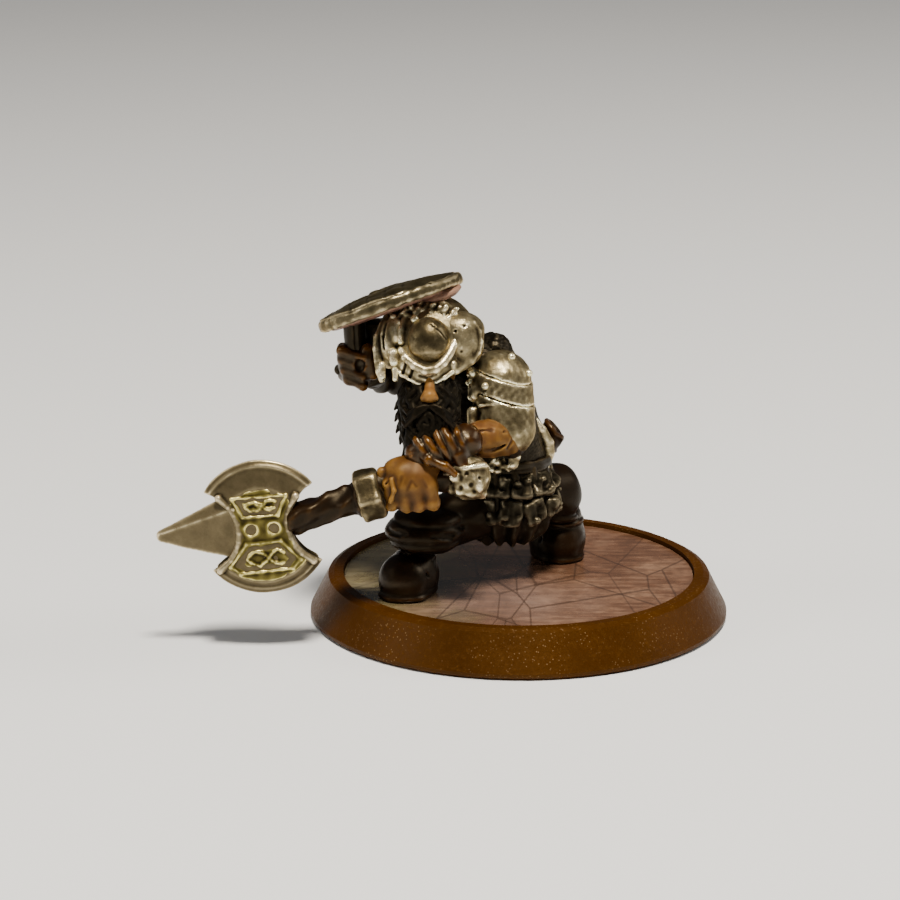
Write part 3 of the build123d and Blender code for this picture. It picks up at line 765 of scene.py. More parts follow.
@piece("helmet_matted_crest", STEEL, "steel_paint", "helmet_crest",
       corners=[helm(-3.6, -0.6, -0.6), helm(2.6, 3.3, -2.6), helm(0, -0.6, -2.6)])
def helmet_crest(clay):
    """The rough matted crest along the crown."""
    rng = np.random.default_rng(21)
    mat = [helm(2.75 * math.cos(a), 0.1 + 2.5 * math.sin(a), -1.75)
           for a in (math.radians(178 - 16 * k) for k in range(9))]
    clay.path(mat, 0.78, blend=0.3)
    for i in range(64):
        angle = math.radians(178 - 128 * i / 63)
        reach = rng.uniform(2.2, 2.95)
        centre = helm(reach * math.cos(angle) * 1.1, 0.1 + reach * math.sin(angle),
                      rng.uniform(-2.4, -0.95))
        lean = (math.cos(angle) * RIGHT + math.sin(angle) * UP) * 0.3 + rng.normal(size=3) * 0.2
        clay.limb(centre - lean, rng.uniform(0.14, 0.24), centre + lean, rng.uniform(0.09, 0.17),
                  blend=0.32)
    clay.rough(0.42, 0.09, 23)
    clay.rough(0.25, 0.04, 24)


@piece("helmet_rivet_heads", STEEL, "steel_paint", "helmet_rivets")
def helmet_rivets(clay):
    for place in ((-1.15, 1.75, -0.35), (2.6, 2.0, -1.6), (-2.9, 1.9, -1.15)):
        clay.ball(helm(*place), 0.3, blend=0.05)
        clay.ring(helm(place[0], place[1], place[2] - 0.08), OUT, 0.3, 0.08, blend=0.04)


# ---- Head and beard ----
@piece("face", SKIN, "skin_paint", "head", margin=1.5, step=MEDIUM)
def head(clay):
    """A plain face, bowed under the helmet so that little but the nose shows."""
    upright_ball(clay, (0.1, -1.9, -3.3), (2.2, 2.8, 2.6))
    for side in (-1, 1):
        upright_ball(clay, (0.1 + side * 0.85, -3.75, -1.5), (0.8, 0.6, 0.7), blend=0.3)
        upright_ball(clay, (0.1 + side * 0.42, -4.75, 0.0), (0.34, 0.3, 0.4), blend=0.12)
    upright_ball(clay, (0.12, -4.55, 0.1), (0.62, 0.6, 0.75), blend=0.2)
    clay.limb(helm(0.1, -3.3, -0.6), 0.4, helm(0.12, -4.3, 0.05), 0.45, blend=0.2)
    clay.path([helm(-0.7, -5.5, -0.55), helm(0.1, -5.65, -0.35), helm(0.8, -5.5, -0.55)], 0.28,
              blend=0.15)
    clay.limb(spot("head", -1.2, 0.6, 0), 1.3, NAPE + (-0.2, 0.4, -0.9), 1.3, blend=0.5)


# The beard's core, from the chin down: how far below the helmet's ball, right and out of it.
BEARD_DOWN = (3.4, 4.6, 6.2, 7.8, 9.0)
BEARD_RIGHT = (0.0, 0.0, 0.0, -0.35, -0.55)
BEARD_OUT = (-2.6, -2.55, -2.2, -1.9, -1.75)
BEARD_RADIUS = (1.9, 2.2, 2.2, 1.65, 0.95)


def on_beard(turn, down, lift):
    """A point on the beard's core, turned from its front towards its left, and lifted."""
    right, out, radius = (float(np.interp(down, BEARD_DOWN, row))
                          for row in (BEARD_RIGHT, BEARD_OUT, BEARD_RADIUS))
    return helm(right + (radius + lift) * math.sin(turn), -down, out + (radius + lift) * math.cos(turn))


@piece("beard_locks", BEARD, "beard_paint", "beard", margin=0.5,
       corners=[helm(-3.6, -10.4, 1.4), helm(3.6, -2.9, 1.4), helm(0, -10.4, -4.0), helm(0, -3.0, -4.8)])
def beard(clay):
    """A full beard in wavy locks, parted under the nose by the moustache."""
    core = [helm(r, -d, o) for r, d, o in zip(BEARD_RIGHT, BEARD_DOWN, BEARD_OUT)]
    clay.path(core, BEARD_RADIUS, blend=0.6)
    rng = np.random.default_rng(31)
    for row in range(5):
        count = 12 - row
        for i in range(count):
            turn = math.radians(88) * ((i + 0.5 * (1 + row % 2)) / count * 2 - 1)
            top = 3.5 + row * 1.12 + rng.uniform(-0.2, 0.2)
            length = rng.uniform(1.9, 2.6)
            twist, swing = rng.uniform(0.10, 0.2), rng.uniform(0, 6)
            points, radii = [], []
            for step in range(8):
                t = step / 7
                points.append(on_beard(turn * (1 - 0.12 * t) + twist * math.sin(6.5 * t + swing),
                                       top + length * t, 0.10 + 0.16 * math.sin(math.pi * t)))
                radii.append(0.29 * (1 - 0.62 * t ** 2))
            clay.path(points, radii, blend=0.03)
    for k in range(5):                              # ragged points on its right side
        down = 5.2 + 0.95 * k
        clay.path([on_beard(-1.25, down - 0.6, 0.1), on_beard(-1.45, down, 0.35),
                   on_beard(-1.5, down + 0.45, 0.62)], [0.3, 0.24, 0.1], blend=0.05)
    for side in (-1, 1):
        for k in range(3):
            route = [(0.15, 5.2 + 0.12 * k, 0.5), (1.0 + 0.1 * k, 5.6 + 0.3 * k, 0.5),
                     (1.75 + 0.1 * k, 6.05 + 0.5 * k, -0.05), (2.05 + 0.1 * k, 5.65 + 0.5 * k, -0.4)]
            clay.path([helm(0.1 + side * r, -down, out) for r, down, out in route],
                      [0.18, 0.24, 0.18, 0.1], blend=0.04)
    clay.ball(helm(0.1, -4.5, 0.7), (0.8, 0.9, 0.75), cut=True, blend=0.12)
    clay.rough(0.7, 0.025, 37)


# ---- Left arm ----
ARM_END = ELBOW + (-0.4, 0.9, 1.3)
LAME_TILT = math.tan(math.radians(16))


def lame(clay, radius, top, bottom):
    """One curved plate of the arm's armour, between two tilted cuts."""
    clay.limb(SHOULDER, radius, ARM_END, radius - 0.15)
    down = np.array([-LAME_TILT, 0, -1.0])
    if top is not None:
        clay.trim(SHOULDER + (0, 0, top), -down, blend=0.12)
    clay.trim(SHOULDER + (0, 0, bottom), down, blend=0.16)


def hammer(clay, seed):
    """The uneven skin of a beaten plate."""
    clay.rough(1.4, 0.05, seed)
    clay.rough(0.45, 0.025, seed + 1)


@piece("pauldron_upper_lame", STEEL, "steel_paint", "pauldron_top")
def pauldron_top(clay):
    lame(clay, 2.62, None, 0.66)
    clay.ball(SHOULDER + (-2.35, -1.0, 1.0), (0.5, 0.55, 0.5), blend=0.2)
    clay.ball(SHOULDER + (-2.5, -1.2, 0.2), (0.35, 0.4, 0.4), blend=0.15)
    hammer(clay, 41)


@piece("pauldron_middle_lame", STEEL, "steel_paint", "pauldron_middle")
def pauldron_middle(clay):
    lame(clay, 2.68, 0.62, -1.0)
    clay.limb(SHOULDER + (-2.2, -1.5, -0.2), 0.5, SHOULDER + (-2.3, -1.7, -0.9), 0.45, blend=0.4)
    hammer(clay, 43)


@piece("elbow_lame", STEEL, "steel_paint", "elbow_plate")
def elbow_plate(clay):
    """The lowest lame and the cup of the elbow, with a rolled upper edge."""
    lame(clay, 2.6, -1.1, -3.75)
    clay.ball(ELBOW + (0.25, 0.1, 0.9), (1.65, 1.65, 2.0), blend=0.35)
    seam = SHOULDER + (0.95, -2.65, -1.4)
    clay.path([seam, seam + (-0.15, 0.1, -1.1), seam + (-0.45, 0.1, -2.0)], 0.12, blend=0.08, cut=True)
    clay.limb(SHOULDER + (-2.3, -1.6, -2.2), 0.45, SHOULDER + (-2.4, -2.0, -4.2), 0.4, blend=0.35)
    clay.path([SHOULDER + (-1.75, -2.25, -2.2), SHOULDER + (-1.9, -2.4, -4.4)], 0.16, blend=0.1,
              cut=True)
    rim = [(-1.7, -2.35, -1.55), (-0.6, -2.65, -1.3), (0.6, -2.6, -1.4), (1.5, -2.2, -1.7)]
    clay.path([SHOULDER + p for p in rim], 0.14, blend=0.1)
    hammer(clay, 47)


@piece("pauldron_rivet_heads", STEEL, "steel_paint", "pauldron_rivets", margin=0.7)
def pauldron_rivets(clay):
    for place in ((0.9, -0.9, 2.3), (2.35, -0.9, 0.9), (-1.25, -2.35, 0.15)):
        clay.ball(SHOULDER + place, 0.33, blend=0.05)


@piece("sleeve_left", CLOTH, "cloth_paint", "left_upper_arm", margin=0.3, step=MEDIUM)
def left_upper_arm(clay):
    clay.limb(SHOULDER + (0, 0.6, -0.2), 1.7, ELBOW, 1.35)
    clay.rough(0.9, 0.08, 51)


@piece("forearm_left", SKIN, "skin_paint", "left_forearm", margin=0.7)
def left_forearm(clay):
    start, end = ELBOW + (-0.2, -0.5, 0.15), WRIST + (0.6, 0.35, 0.55)
    clay.limb(start, 1.15, end, 1.25)
    clay.ball(ELBOW + (-1.9, -1.5, 0.75), (2.1, 1.5, 1.55), (0, 12, 25), blend=0.5)
    clay.ball(ELBOW + (-2.9, -2.6, 1.4), (1.3, 0.8, 0.75), (0, 10, 28), blend=0.35)
    grooves(clay, ELBOW, (
        (((-0.6, -2.15, 0.35), (-1.4, -2.75, 0.05), (-2.3, -3.3, -0.05)), 0.13, 0.22),
        (((0.1, -1.75, 0.6), (-0.25, -2.0, 0.0)), 0.12, 0.2),
        (((-1.6, -2.6, 1.75), (-2.8, -3.1, 1.75)), 0.10, 0.2),
        (((-0.4, -1.9, 1.5), (-1.3, -2.4, 1.2), (-2.2, -3.0, 0.8)), 0.07, 0.2),
    ))
    clay.rough(0.8, 0.05, 53)


@piece("wrist_wrap", GOLDEN_LEATHER, "leather_paint", "left_bracer")
def left_bracer(clay):
    """The leather wrap of the wrist: a sleeve of uneven straps with a tongue over the pommel."""
    start, end = WRIST + (-1.9, -0.4, -0.35), WRIST + (1.7, 0.2, 0.45)
    clay.limb(start, 1.35, end, 1.5)
    way = (end - start) / np.linalg.norm(end - start)
    rng = np.random.default_rng(57)
    count = 5
    for i in range(count):
        t = (i + 0.45) / count
        centre = start + (end - start) * t + (0, 0, 0.12 * math.sin(3 * t))
        tilt = way + (0, 0, rng.uniform(0.1, 0.75)) + RIGHT * 0.2
        clay.ring(centre, tilt, 1.28 + 0.26 * math.sin(math.pi * t), rng.uniform(0.32, 0.48),
                  blend=0.12, squash=1.08)
    tongue = [(-2.2, -1.2, 0.1), (-1.2, -1.9, -0.55), (0.1, -2.1, -1.0), (0.9, -2.0, -1.7)]
    clay.path([WRIST + p for p in tongue], [0.4, 0.45, 0.4, 0.3], blend=0.12)
    clay.limb(WRIST + (1.2, -1.2, -0.3), 0.75, WRIST + (1.75, -1.45, -1.65), 0.42, blend=0.15)
    grooves(clay, WRIST, [(((0.75, -2.0, -0.2), (1.1, -2.1, -1.2)), 0.1, 0.1)])
    clay.ball(WRIST + (-2.35, -1.0, -0.3), (0.5, 0.5, 0.4), cut=True, blend=0.15)
    clay.rough(0.7, 0.05, 59)


@piece("fist_left", SKIN, "skin_paint", "left_fist")
def left_fist(clay):
    """The bare fist round the haft, seen from the back of the hand; its knuckles point down."""
    clay.ball(FIST + (0.0, 0.0, 0.25), (2.55, 1.9, 1.9), (0, -8, 0))
    clay.limb(FIST + (0.6, 0.1, 0.8), 1.6, FIST + (1.6, 0.4, 2.2), 1.2, blend=0.5)
    clay.ball(FIST + (-0.9, -0.1, 1.1), (1.4, 1.4, 1.1), blend=0.4)
    for i in range(4):
        x = -1.55 + 1.12 * i
        low = FIST + (x, -0.95, -1.75 + 0.10 * abs(i - 1.3))
        clay.limb(low, 0.55, FIST + (x - 0.25, -1.1, 0.1), 0.62, blend=0.35)
        clay.limb(low, 0.55, FIST + (x + 0.1, 0.9, -1.9), 0.5, blend=0.3)
        if i:
            gap = [(x - 0.6, -1.4, -2.0), (x - 0.75, -1.85, -1.2), (x - 0.95, -2.0, -0.3),
                   (x - 1.05, -2.0, 0.5)]
            grooves(clay, FIST, [(gap, (0.12, 0.12, 0.08, 0.04), 0.12)])
    fold = [(-1.55, -1.55, 0.7), (-1.35, -1.95, -0.2), (-1.6, -1.9, -1.1)]
    clay.path([FIST + p for p in fold], 0.2, blend=0.2)
    grooves(clay, FIST, (
        (((-0.75, -1.9, 1.0), (-1.0, -1.98, 0.1)), (0.24, 0.14), 0.12),
        (((0.05, -1.95, 0.6), (-0.45, -2.02, -0.6)), (0.10, 0.08), 0.16),
    ))
    clay.limb(FIST + (-2.4, -0.5, 1.0), 0.45, FIST + (-2.5, -0.5, -1.2), 0.4, blend=0.2)
    grooves(clay, FIST, (
        (((-0.3, -2.0, 1.3), (0.5, -1.95, 0.2)), 0.08, 0.14),
        (((0.9, -1.9, 1.1), (1.3, -1.8, 0.1)), 0.08, 0.14),
        (((-1.9, -1.6, 0.6), (-2.2, -1.2, -0.6)), 0.08, 0.14),
    ))
    clay.rough(0.9, 0.055, 61)


# ---- Axe ----
@piece("axe_shaft", WOOD, "haft_paint", "axe_haft", margin=0.5)
def axe_haft(clay):
    grip_end = FIST + (-2.2, 0, -0.15)
    clay.path([POMMEL + (-1.0, 0, 0), FIST, grip_end, COLLAR], [0.95, 1.0, 1.15, 1.2], blend=0.2)
    for t in (0.25, 0.62):
        clay.ring(grip_end + (COLLAR - grip_end) * t, COLLAR - grip_end, 1.2, 0.26, blend=0.12)
    reach = HAFT_TOP - COLLAR
    bend = COLLAR + reach * 0.5 + (0, 0, 0.12)
    clay.path([COLLAR, bend, HAFT_TOP, HAFT_TOP + reach * 0.22], [1.5, 1.15, 1.3, 1.1], blend=0.25)
    clay.ring(COLLAR + reach * 0.2, reach, 1.3, 0.3, blend=0.2)
    axes = frame_along(reach)

    def grain(x, y, z):
        u, v, w = into(axes, COLLAR, x, y, z)
        turn = np.arctan2(v, u)
        twist = np.sin(3 * turn + 1.1 * w + 1.2 * np.sin(1.7 * w))
        knots = waves(x, y, z, 0.8, 67)
        return 0.10 * twist + 0.14 * knots
    clay.relief_map(grain)
    clay.trim(axe_point(-2.15, 0), AXE_U, blend=0.25)


@piece("axe_nut", DARK_STEEL, "steel_paint", "axe_collar", margin=0.6)
def axe_collar(clay):
    way = COLLAR - HAFT_TOP
    axes = frame_along(way)
    centre = COLLAR + (-0.35, 0, 0.1)

    def nut(x, y, z):
        u, v, w = into(axes, centre, x, y, z)
        sides = [np.abs(u * math.cos(a) + v * math.sin(a)) - 2.02
                 for a in (math.radians(k * 60 + 30) for k in range(3))]
        flats = smooth_max(smooth_max(sides[0], sides[1], 0.3), sides[2], 0.3)
        return smooth_max(flats, np.abs(w) - 1.05, 0.5)
    clay.add(centre, 3, nut, 0.1)
    clay.puck(centre - way / np.linalg.norm(way) * 1.05, way, 1.62, 0.35, blend=0.1, cut=True)
    clay.rough(0.9, 0.05, 71)


@piece("axe_pommel_head", STEEL, "steel_paint", "axe_pommel", margin=0.6)
def axe_pommel(clay):
    clay.ball(POMMEL + (0, 0, 0.1), (1.8, 1.75, 1.9))
    clay.ring(POMMEL + (-0.1, 0, -1.1), UP + 0.15 * RIGHT, 1.3, 0.4, blend=0.12)
    clay.ring(POMMEL + (0, 0, 0.95), UP - 0.1 * RIGHT, 1.35, 0.28, blend=0.15)
    pits = ((-0.7, -1.7, 0.55, 0.28), (0.25, -1.8, -0.1, 0.22), (-0.1, -1.6, 0.9, 0.18),
            (0.95, -1.4, 0.4, 0.2), (-0.6, -1.75, -0.35, 0.24), (0.6, -1.6, -0.7, 0.16))
    for dx, dy, dz, size in pits:
        clay.ball(POMMEL + (dx, dy, dz), size, cut=True, blend=0.12)
    clay.ball(POMMEL + (-1.0, -1.3, 0.5), (0.5, 0.4, 0.4), blend=0.25)
    clay.ball(POMMEL + (0.9, -1.4, -0.2), (0.45, 0.4, 0.5), blend=0.25)
    clay.rough(0.8, 0.09, 73)


AXE_U = (SPIKE_TIP - AXE) / np.linalg.norm(SPIKE_TIP - AXE)
AXE_N = np.array([0.0, -1.0, 0.0])
AXE_W = np.cross(AXE_N, AXE_U)
if AXE_W[2] < 0:
    AXE_W = -AXE_W
BLADE_R = 5.62            # both cutting edges lie close to one circle
BITE_U = 5.72             # centre and radius of the hollows at the waist
BITE_R = 3.5
AXE_HALF_T = 0.72
TOP_BEVEL = 2.2           # widths of the plain ground bevels
LOW_BEVEL = 1.1
AXE_SPAN = 6.2            # half the size of a block that holds the head
PIN_US = (-1.0, 0.9)      # where the two pins sit along the haft's line


def axe_point(u, w, n=0.0):
    return AXE + u * AXE_U + w * AXE_W + n * AXE_N


def axe_coords(x, y, z):
    return into([AXE_U, AXE_W, AXE_N], AXE, x, y, z)


def axe_outline(u, w):
    """Distances out of the circle of the cutting edges and into the hollows of the waist."""
    edge = np.sqrt(u * u + (np.abs(w) - 0.12) ** 2) - BLADE_R
    bite = BITE_R - np.sqrt((np.abs(u + 0.1) - BITE_U) ** 2 + w * w)
    return edge, bite


@piece("axe_blades", AXE_STEEL, "steel_paint", "axe_head", margin=0.5, step=VERY_FINE)
def axe_head(clay):
    """Both blades, ground to their edges, with rolled rims along the waist."""
    def blade(x, y, z):
        u, w, n = axe_coords(x, y, z)
        edge, bite = axe_outline(u, w)
        outline = smooth_max(edge, bite, 0.12)
        depth = -edge
        bevel = np.clip(depth / np.where(w > 0, TOP_BEVEL, LOW_BEVEL), 0, 1)
        thick = 0.10 + (AXE_HALF_T - 0.10) * bevel ** 0.85
        lip = 0.10 * np.exp(-((depth - 0.45) / 0.16) ** 2)
        side = np.clip(-bite / 0.42, 0, 1)
        thick = thick * (0.62 + 0.38 * np.sqrt(side)) + lip
        return smooth_max(outline, np.abs(n) - thick, 0.1)
    clay.add(AXE, AXE_SPAN, blade)
    for end, low_w, high_w in ((1, -3.3, 2.9), (-1, -3.2, 2.5)):
        rim = []
        for w in np.linspace(low_w, high_w, 9):
            reach = math.sqrt((BITE_R + 0.22) ** 2 - min(abs(w), BITE_R) ** 2)
            rim.append((end * (BITE_U - reach) - 0.1, w))
        for n in (-AXE_HALF_T * 0.75, AXE_HALF_T * 0.75):
            clay.path([axe_point(u, w, n) for u, w in rim],
                      [0.34, 0.3, 0.28, 0.28, 0.28, 0.28, 0.28, 0.3, 0.34], blend=0.08)
    clay.rough(1.3, 0.03, 79)


def ornament(clay, n):
    """Framed panels above and below the pins, each with a plain plaited scroll."""
    top = [(-2.3, 2.7), (2.2, 2.8), (1.45, 1.15), (-1.45, 1.1), (-2.3, 2.7)]
    low = [(-2.2, -3.6), (-2.9, -2.9), (-1.45, -1.15), (1.45, -1.2), (2.95, -3.0), (2.2, -3.7),
           (-2.2, -3.6)]
    for outer in (top, low):
        clay.path([axe_point(u, w, n) for u, w in outer], 0.15, blend=0.14)
        middle_u, middle_w = np.mean(outer[:-1], 0)
        inner = [axe_point(middle_u + 0.78 * (u - middle_u), middle_w + 0.68 * (w - middle_w), n)
                 for u, w in outer]
        clay.path(inner, 0.15, blend=0.18, cut=True)
    rng = np.random.default_rng(81)
    for centre_w, height, width in ((2.0, 0.34, 1.2), (-2.5, 0.6, 1.5)):
        for phase in (0.4, math.pi + 0.4):
            wave = []
            for t in (i / 12 * 2 - 1 for i in range(13)):
                lift = height * math.sin(2.7 * t + phase) + rng.uniform(-0.08, 0.08)
                wave.append(axe_point(width * t + rng.uniform(-0.08, 0.08), centre_w + lift, n))
            clay.path(wave, 0.14, blend=0.14)


@piece("axe_ornament", AXE_GILT, "steel_paint", around=("axe_head",), margin=0.5, step=VERY_FINE)
def axe_ornament(clay):
    """The gilt panel between the bevels, carved on both faces."""
    def panel(x, y, z):
        u, w, n = axe_coords(x, y, z)
        edge, bite = axe_outline(u, w)
        outline = smooth_max(edge + np.where(w > 0, TOP_BEVEL, LOW_BEVEL) + 0.1, bite + 0.12, 0.2)
        return smooth_max(outline, np.abs(n) - AXE_HALF_T - 0.04, 0.08)
    clay.add(AXE, AXE_SPAN, panel)
    for face in (1, -1):
        n = face * AXE_HALF_T
        ornament(clay, n)
        for u in PIN_US:
            clay.ring(axe_point(u, 0.0, n - 0.05 * face), AXE_N, 0.55, 0.10, blend=0.3)
            clay.ball(axe_point(u, 0.0, n), (0.46, 0.45, 0.46), cut=True, blend=0.1)
    clay.rough(0.7, 0.06, 80)


# Painted shade: the pin heads take the near-black mail paint, so that the holes they sit in read as dark
# with shade.
@piece("axe_pin_heads", MAIL, "steel_paint", "axe_pins", margin=0.5, step=VERY_FINE)
def axe_pins(clay):
    for u in PIN_US:
        for face in (1, -1):
            clay.ball(axe_point(u, 0.0, face * (AXE_HALF_T - 0.32)), (0.46, 0.3, 0.46), blend=0.02)


@piece("axe_point", AXE_STEEL, "steel_paint", "axe_spike", margin=1.2)
def axe_spike(clay):
    """A flat leaf point with a ridge near its upper edge, broad at the root."""
    reach = np.linalg.norm(SPIKE_TIP - AXE)

    def leaf(x, y, z):
        u, w, n = axe_coords(x, y, z)
        t = np.clip((reach - u) / (reach - 3.2), 0, 1.15)
        top = 0.34 + 2.4 * t ** 0.95
        bottom = -0.32 - 1.95 * t ** 0.85
        ridge = 0.2 + 1.5 * t
        high = np.clip((top - w) / np.maximum(top - ridge, 0.05), -1, 1)
        low = np.clip((w - bottom) / np.maximum(ridge - bottom, 0.05), -1, 1)
        thick = 0.10 + (0.22 + 0.42 * t) * np.minimum(high, low)
        flat = np.maximum(w - top, bottom - w)
        body = smooth_max(flat, (np.abs(n) - thick) * 0.9, 0.06)
        return smooth_max(smooth_max(body, u - reach, 0.2), 2.0 - u, 0.1)
    clay.add(axe_point(6, 0), 5.2, leaf)
    clay.rough(1.2, 0.03, 83)


# ---- Shield and right arm ----
SHIELD_DIP = 12           # degrees that its far side dips
SHIELD_LIST = 20          # degrees that its right end, over the fist, dips
SHIELD_AXES = (turn_matrix((-SHIELD_DIP, 0, 0)) @ turn_matrix((0, -SHIELD_LIST, 0))).T
SHIELD_SPAN = 7.5         # half the size of a block that holds it
SHIELD_R = (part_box("shield_rim")[1][1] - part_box("shield_rim")[0][1]) / MM / 2 - 0.05


def on_shield(radius, angle, lift=0.0):
    u, v, w = SHIELD_AXES
    return SHIELD + radius * (math.cos(angle) * u + math.sin(angle) * v) + lift * w


def shield_coords(x, y, z):
    """Coordinates in the shield's frame, and the distance from its axis."""
    u, v, w = into(SHIELD_AXES, SHIELD, x, y, z)
    return u, v, w, np.sqrt(u * u + v * v)


@piece("shield_face", SHIELD_STEEL, "shield_metal", "shield_board", margin=0.7, step=MEDIUM)
def shield_board(clay):

    def board(x, y, z):
        u, v, w, r = shield_coords(x, y, z)
        dome = 0.95 * (1 - (r / SHIELD_R) ** 2)
        grain = 0.035 * np.sin(9 * np.arctan2(v, u) + 1.5 * np.sin(2 * r)) * np.clip(r / 3, 0, 1)
        planks = 0.05 * np.exp(-(((u / 1.55) - np.round(u / 1.55)) / 0.05) ** 2)
        return np.maximum(r - (SHIELD_R - 0.4), np.abs(w - dome * 0.8 - grain + planks) - 0.42)
    clay.add(SHIELD, SHIELD_SPAN, board)
    clay.rough(1.0, 0.05, 89)


@piece("shield_hoop", SHIELD_STEEL, "shield_metal", "shield_rim", margin=0.6, step=MEDIUM)
def shield_rim(clay):

    def hoop(x, y, z):
        u, v, w, r = shield_coords(x, y, z)
        angle = np.arctan2(v, u)
        dents = 0.06 * np.sin(23 * angle + 3 * np.sin(5 * angle)) + 0.05 * waves(x, y, z, 0.6, 97)
        across = np.abs(r - (SHIELD_R - 0.55)) - 0.45 - 0.3 * dents
        deep = np.abs(w + 0.1) - 0.5 - 0.5 * dents
        return smooth_max(across, deep, 0.4)
    clay.add(SHIELD, SHIELD_SPAN, hoop)
    notch = math.radians(-52)
    clay.limb(on_shield(SHIELD_R - 1.2, notch, 0.4), 0.11, on_shield(SHIELD_R + 0.3, notch, 0.3), 0.11,
              blend=0.05, cut=True)
    clay.limb(on_shield(SHIELD_R + 0.05, notch, 0.5), 0.13, on_shield(SHIELD_R + 0.05, notch, -0.8),
              0.13, blend=0.05, cut=True)


@piece("shield_lining", LINING, "shield_metal", corners=(SHIELD - 7, SHIELD + 7), margin=0, step=MEDIUM)
def shield_lining(clay):
    """A pale padded lining that bulges under the shield's far left end."""
    def pad(x, y, z):
        u, v, w, r = shield_coords(x, y, z)
        puff = 0.28 * np.sqrt(np.clip(1 - (r / (SHIELD_R - 1.0)) ** 2, 0, 1))
        return smooth_max(r - (SHIELD_R - 1.05), np.abs(w + 0.5) - 0.12 - puff, 0.1)
    clay.add(SHIELD, 7, pad)
    bulge = on_shield(SHIELD_R - 2.2, math.radians(-25), -0.8)
    clay.ball(bulge, (2.2, 1.5, 0.6), (0, -SHIELD_LIST, 0), blend=0.4)
    clay.rough(0.9, 0.04, 101)


@piece("shield_umbo", SHIELD_STEEL, "shield_metal", "shield_boss", margin=0.5)
def shield_boss(clay):
    centre = SHIELD + SHIELD_AXES[2] * 0.85
    clay.puck(centre, SHIELD_AXES[2], 1.55, 0.42, rounding=0.35)
    clay.ring(centre + SHIELD_AXES[2] * 0.1, SHIELD_AXES[2], 1.5, 0.18, blend=0.1)
    clay.rough(0.8, 0.03, 103)


# Painted shade: the strap takes the near-black cloth paint, darkened for the shade it lies in under the
# shield.
@piece("shield_strap", CLOTH, "leather_paint", "shield_grip", margin=0.6)
def shield_grip(clay):
    clay.limb(RIGHT_FIST + (-1.6, 0.4, -0.4), 0.5, RIGHT_FIST + (1.7, -0.4, 0.8), 0.5)
    top = spot("shield_grip", 0.0, 0, 2.0)
    low = RIGHT_FIST + (-0.2, -0.5, 0.9)
    top = top + (-0.4, -0.4, 0.2)
    clay.limb(low, 0.85, top, 0.95, blend=0.15)
    clay.path([low + (0.1, -0.85, 0), top + (0.1, -0.95, 0)], 0.12, cut=True)
    clay.rough(0.6, 0.03, 107)


@piece("fist_right", GOLDEN_LEATHER, "leather_paint", "right_fist", margin=1.2)
def right_fist(clay):
    """The gloved fist that holds the shield up, thumb over the fingers."""
    hand = RIGHT_FIST + (0.1, 0, 0.4)
    clay.ball(hand, (1.85, 1.6, 1.95))
    for i in range(4):
        z = 1.15 - 0.8 * i
        start = hand + (-1.4 + 0.06 * i * i, -0.9, z)
        clay.limb(start, 0.5, hand + (0.4, -1.45, z - 0.45), 0.44, blend=0.28)
        clay.limb(start, 0.46, hand + (-1.45, 0.3, z), 0.45, blend=0.25)
    clay.limb(hand + (0.7, -1.2, 1.3), 0.55, hand + (1.05, -1.4, -0.8), 0.5, blend=0.25)
    clay.ball(hand + (0.1, -1.65, 0.1), (0.4, 0.3, 0.5), cut=True, blend=0.3)
    clay.rough(0.8, 0.07, 109)


@piece("forearm_right", CLOTH, "leather_paint", "right_forearm", margin=2.4, step=MEDIUM)
def right_forearm(clay):
    """The dark glove's cuff and the sleeve behind the fist, up to the shield; its upper rod is also a
    dark filler of painted shade.
    """
    clay.limb(RIGHT_ELBOW, 1.8, RIGHT_FIST + (1.0, 1.4, -0.3), 1.35)
    for t in (0.45, 0.75):
        clay.ring(RIGHT_ELBOW + (RIGHT_FIST - RIGHT_ELBOW) * t, RIGHT_FIST - RIGHT_ELBOW, 1.5, 0.25,
                  blend=0.15)
    # Part sleeve, part painted shade: this dark rod fills the shaded gap between the strap and the
    # helmet.
    clay.limb(RIGHT_FIST + (1.4, 0.9, -0.6), 1.3, RIGHT_FIST + (1.7, 1.2, 2.95), 1.45, blend=0.4)
    clay.rough(0.8, 0.07, 113)


@piece("sleeve_right", CLOTH, "cloth_paint", "right_upper_arm", margin=0.5, step=MEDIUM)
def right_upper_arm(clay):
    clay.limb(RIGHT_SHOULDER, 2.5, RIGHT_ELBOW, 1.95)
    folds = frame_along(RIGHT_ELBOW - RIGHT_SHOULDER)

    def creases(x, y, z):
        u, v, w = into(folds, RIGHT_SHOULDER, x, y, z)
        return 0.13 * np.sin(4.6 * w + 1.6 * np.sin(1.4 * u + 0.8 * v)) + 0.05 * waves(x, y, z, 0.9, 127)
    clay.relief_map(creases)


# ---- Trunk ----
def links(x, y, z, size=0.62, height=0.09):
    """Rows of mail rings, as a relief."""
    angle = np.arctan2(y - WAIST[1], x - WAIST[0])
    along = z / (size * 0.8)
    row = np.floor(along)
    round_ = angle * 3.9 / size + 0.5 * (row % 2)
    cell_u = round_ - np.round(round_)
    cell_v = along - row - 0.5
    r = np.sqrt(cell_u ** 2 + cell_v ** 2)
    return height * np.exp(-((r - 0.36) / 0.14) ** 2)


@piece("mail_coat", MAIL, "mail_paint", "torso", margin=0.4, step=MEDIUM)
def torso(clay):
    clay.limb(WAIST, 3.3, CHEST, 3.95)
    clay.limb(CHEST, 3.6, NAPE, 3.25, blend=0.5)
    clay.relief_map(links)
    clay.rough(1.6, 0.07, 131)


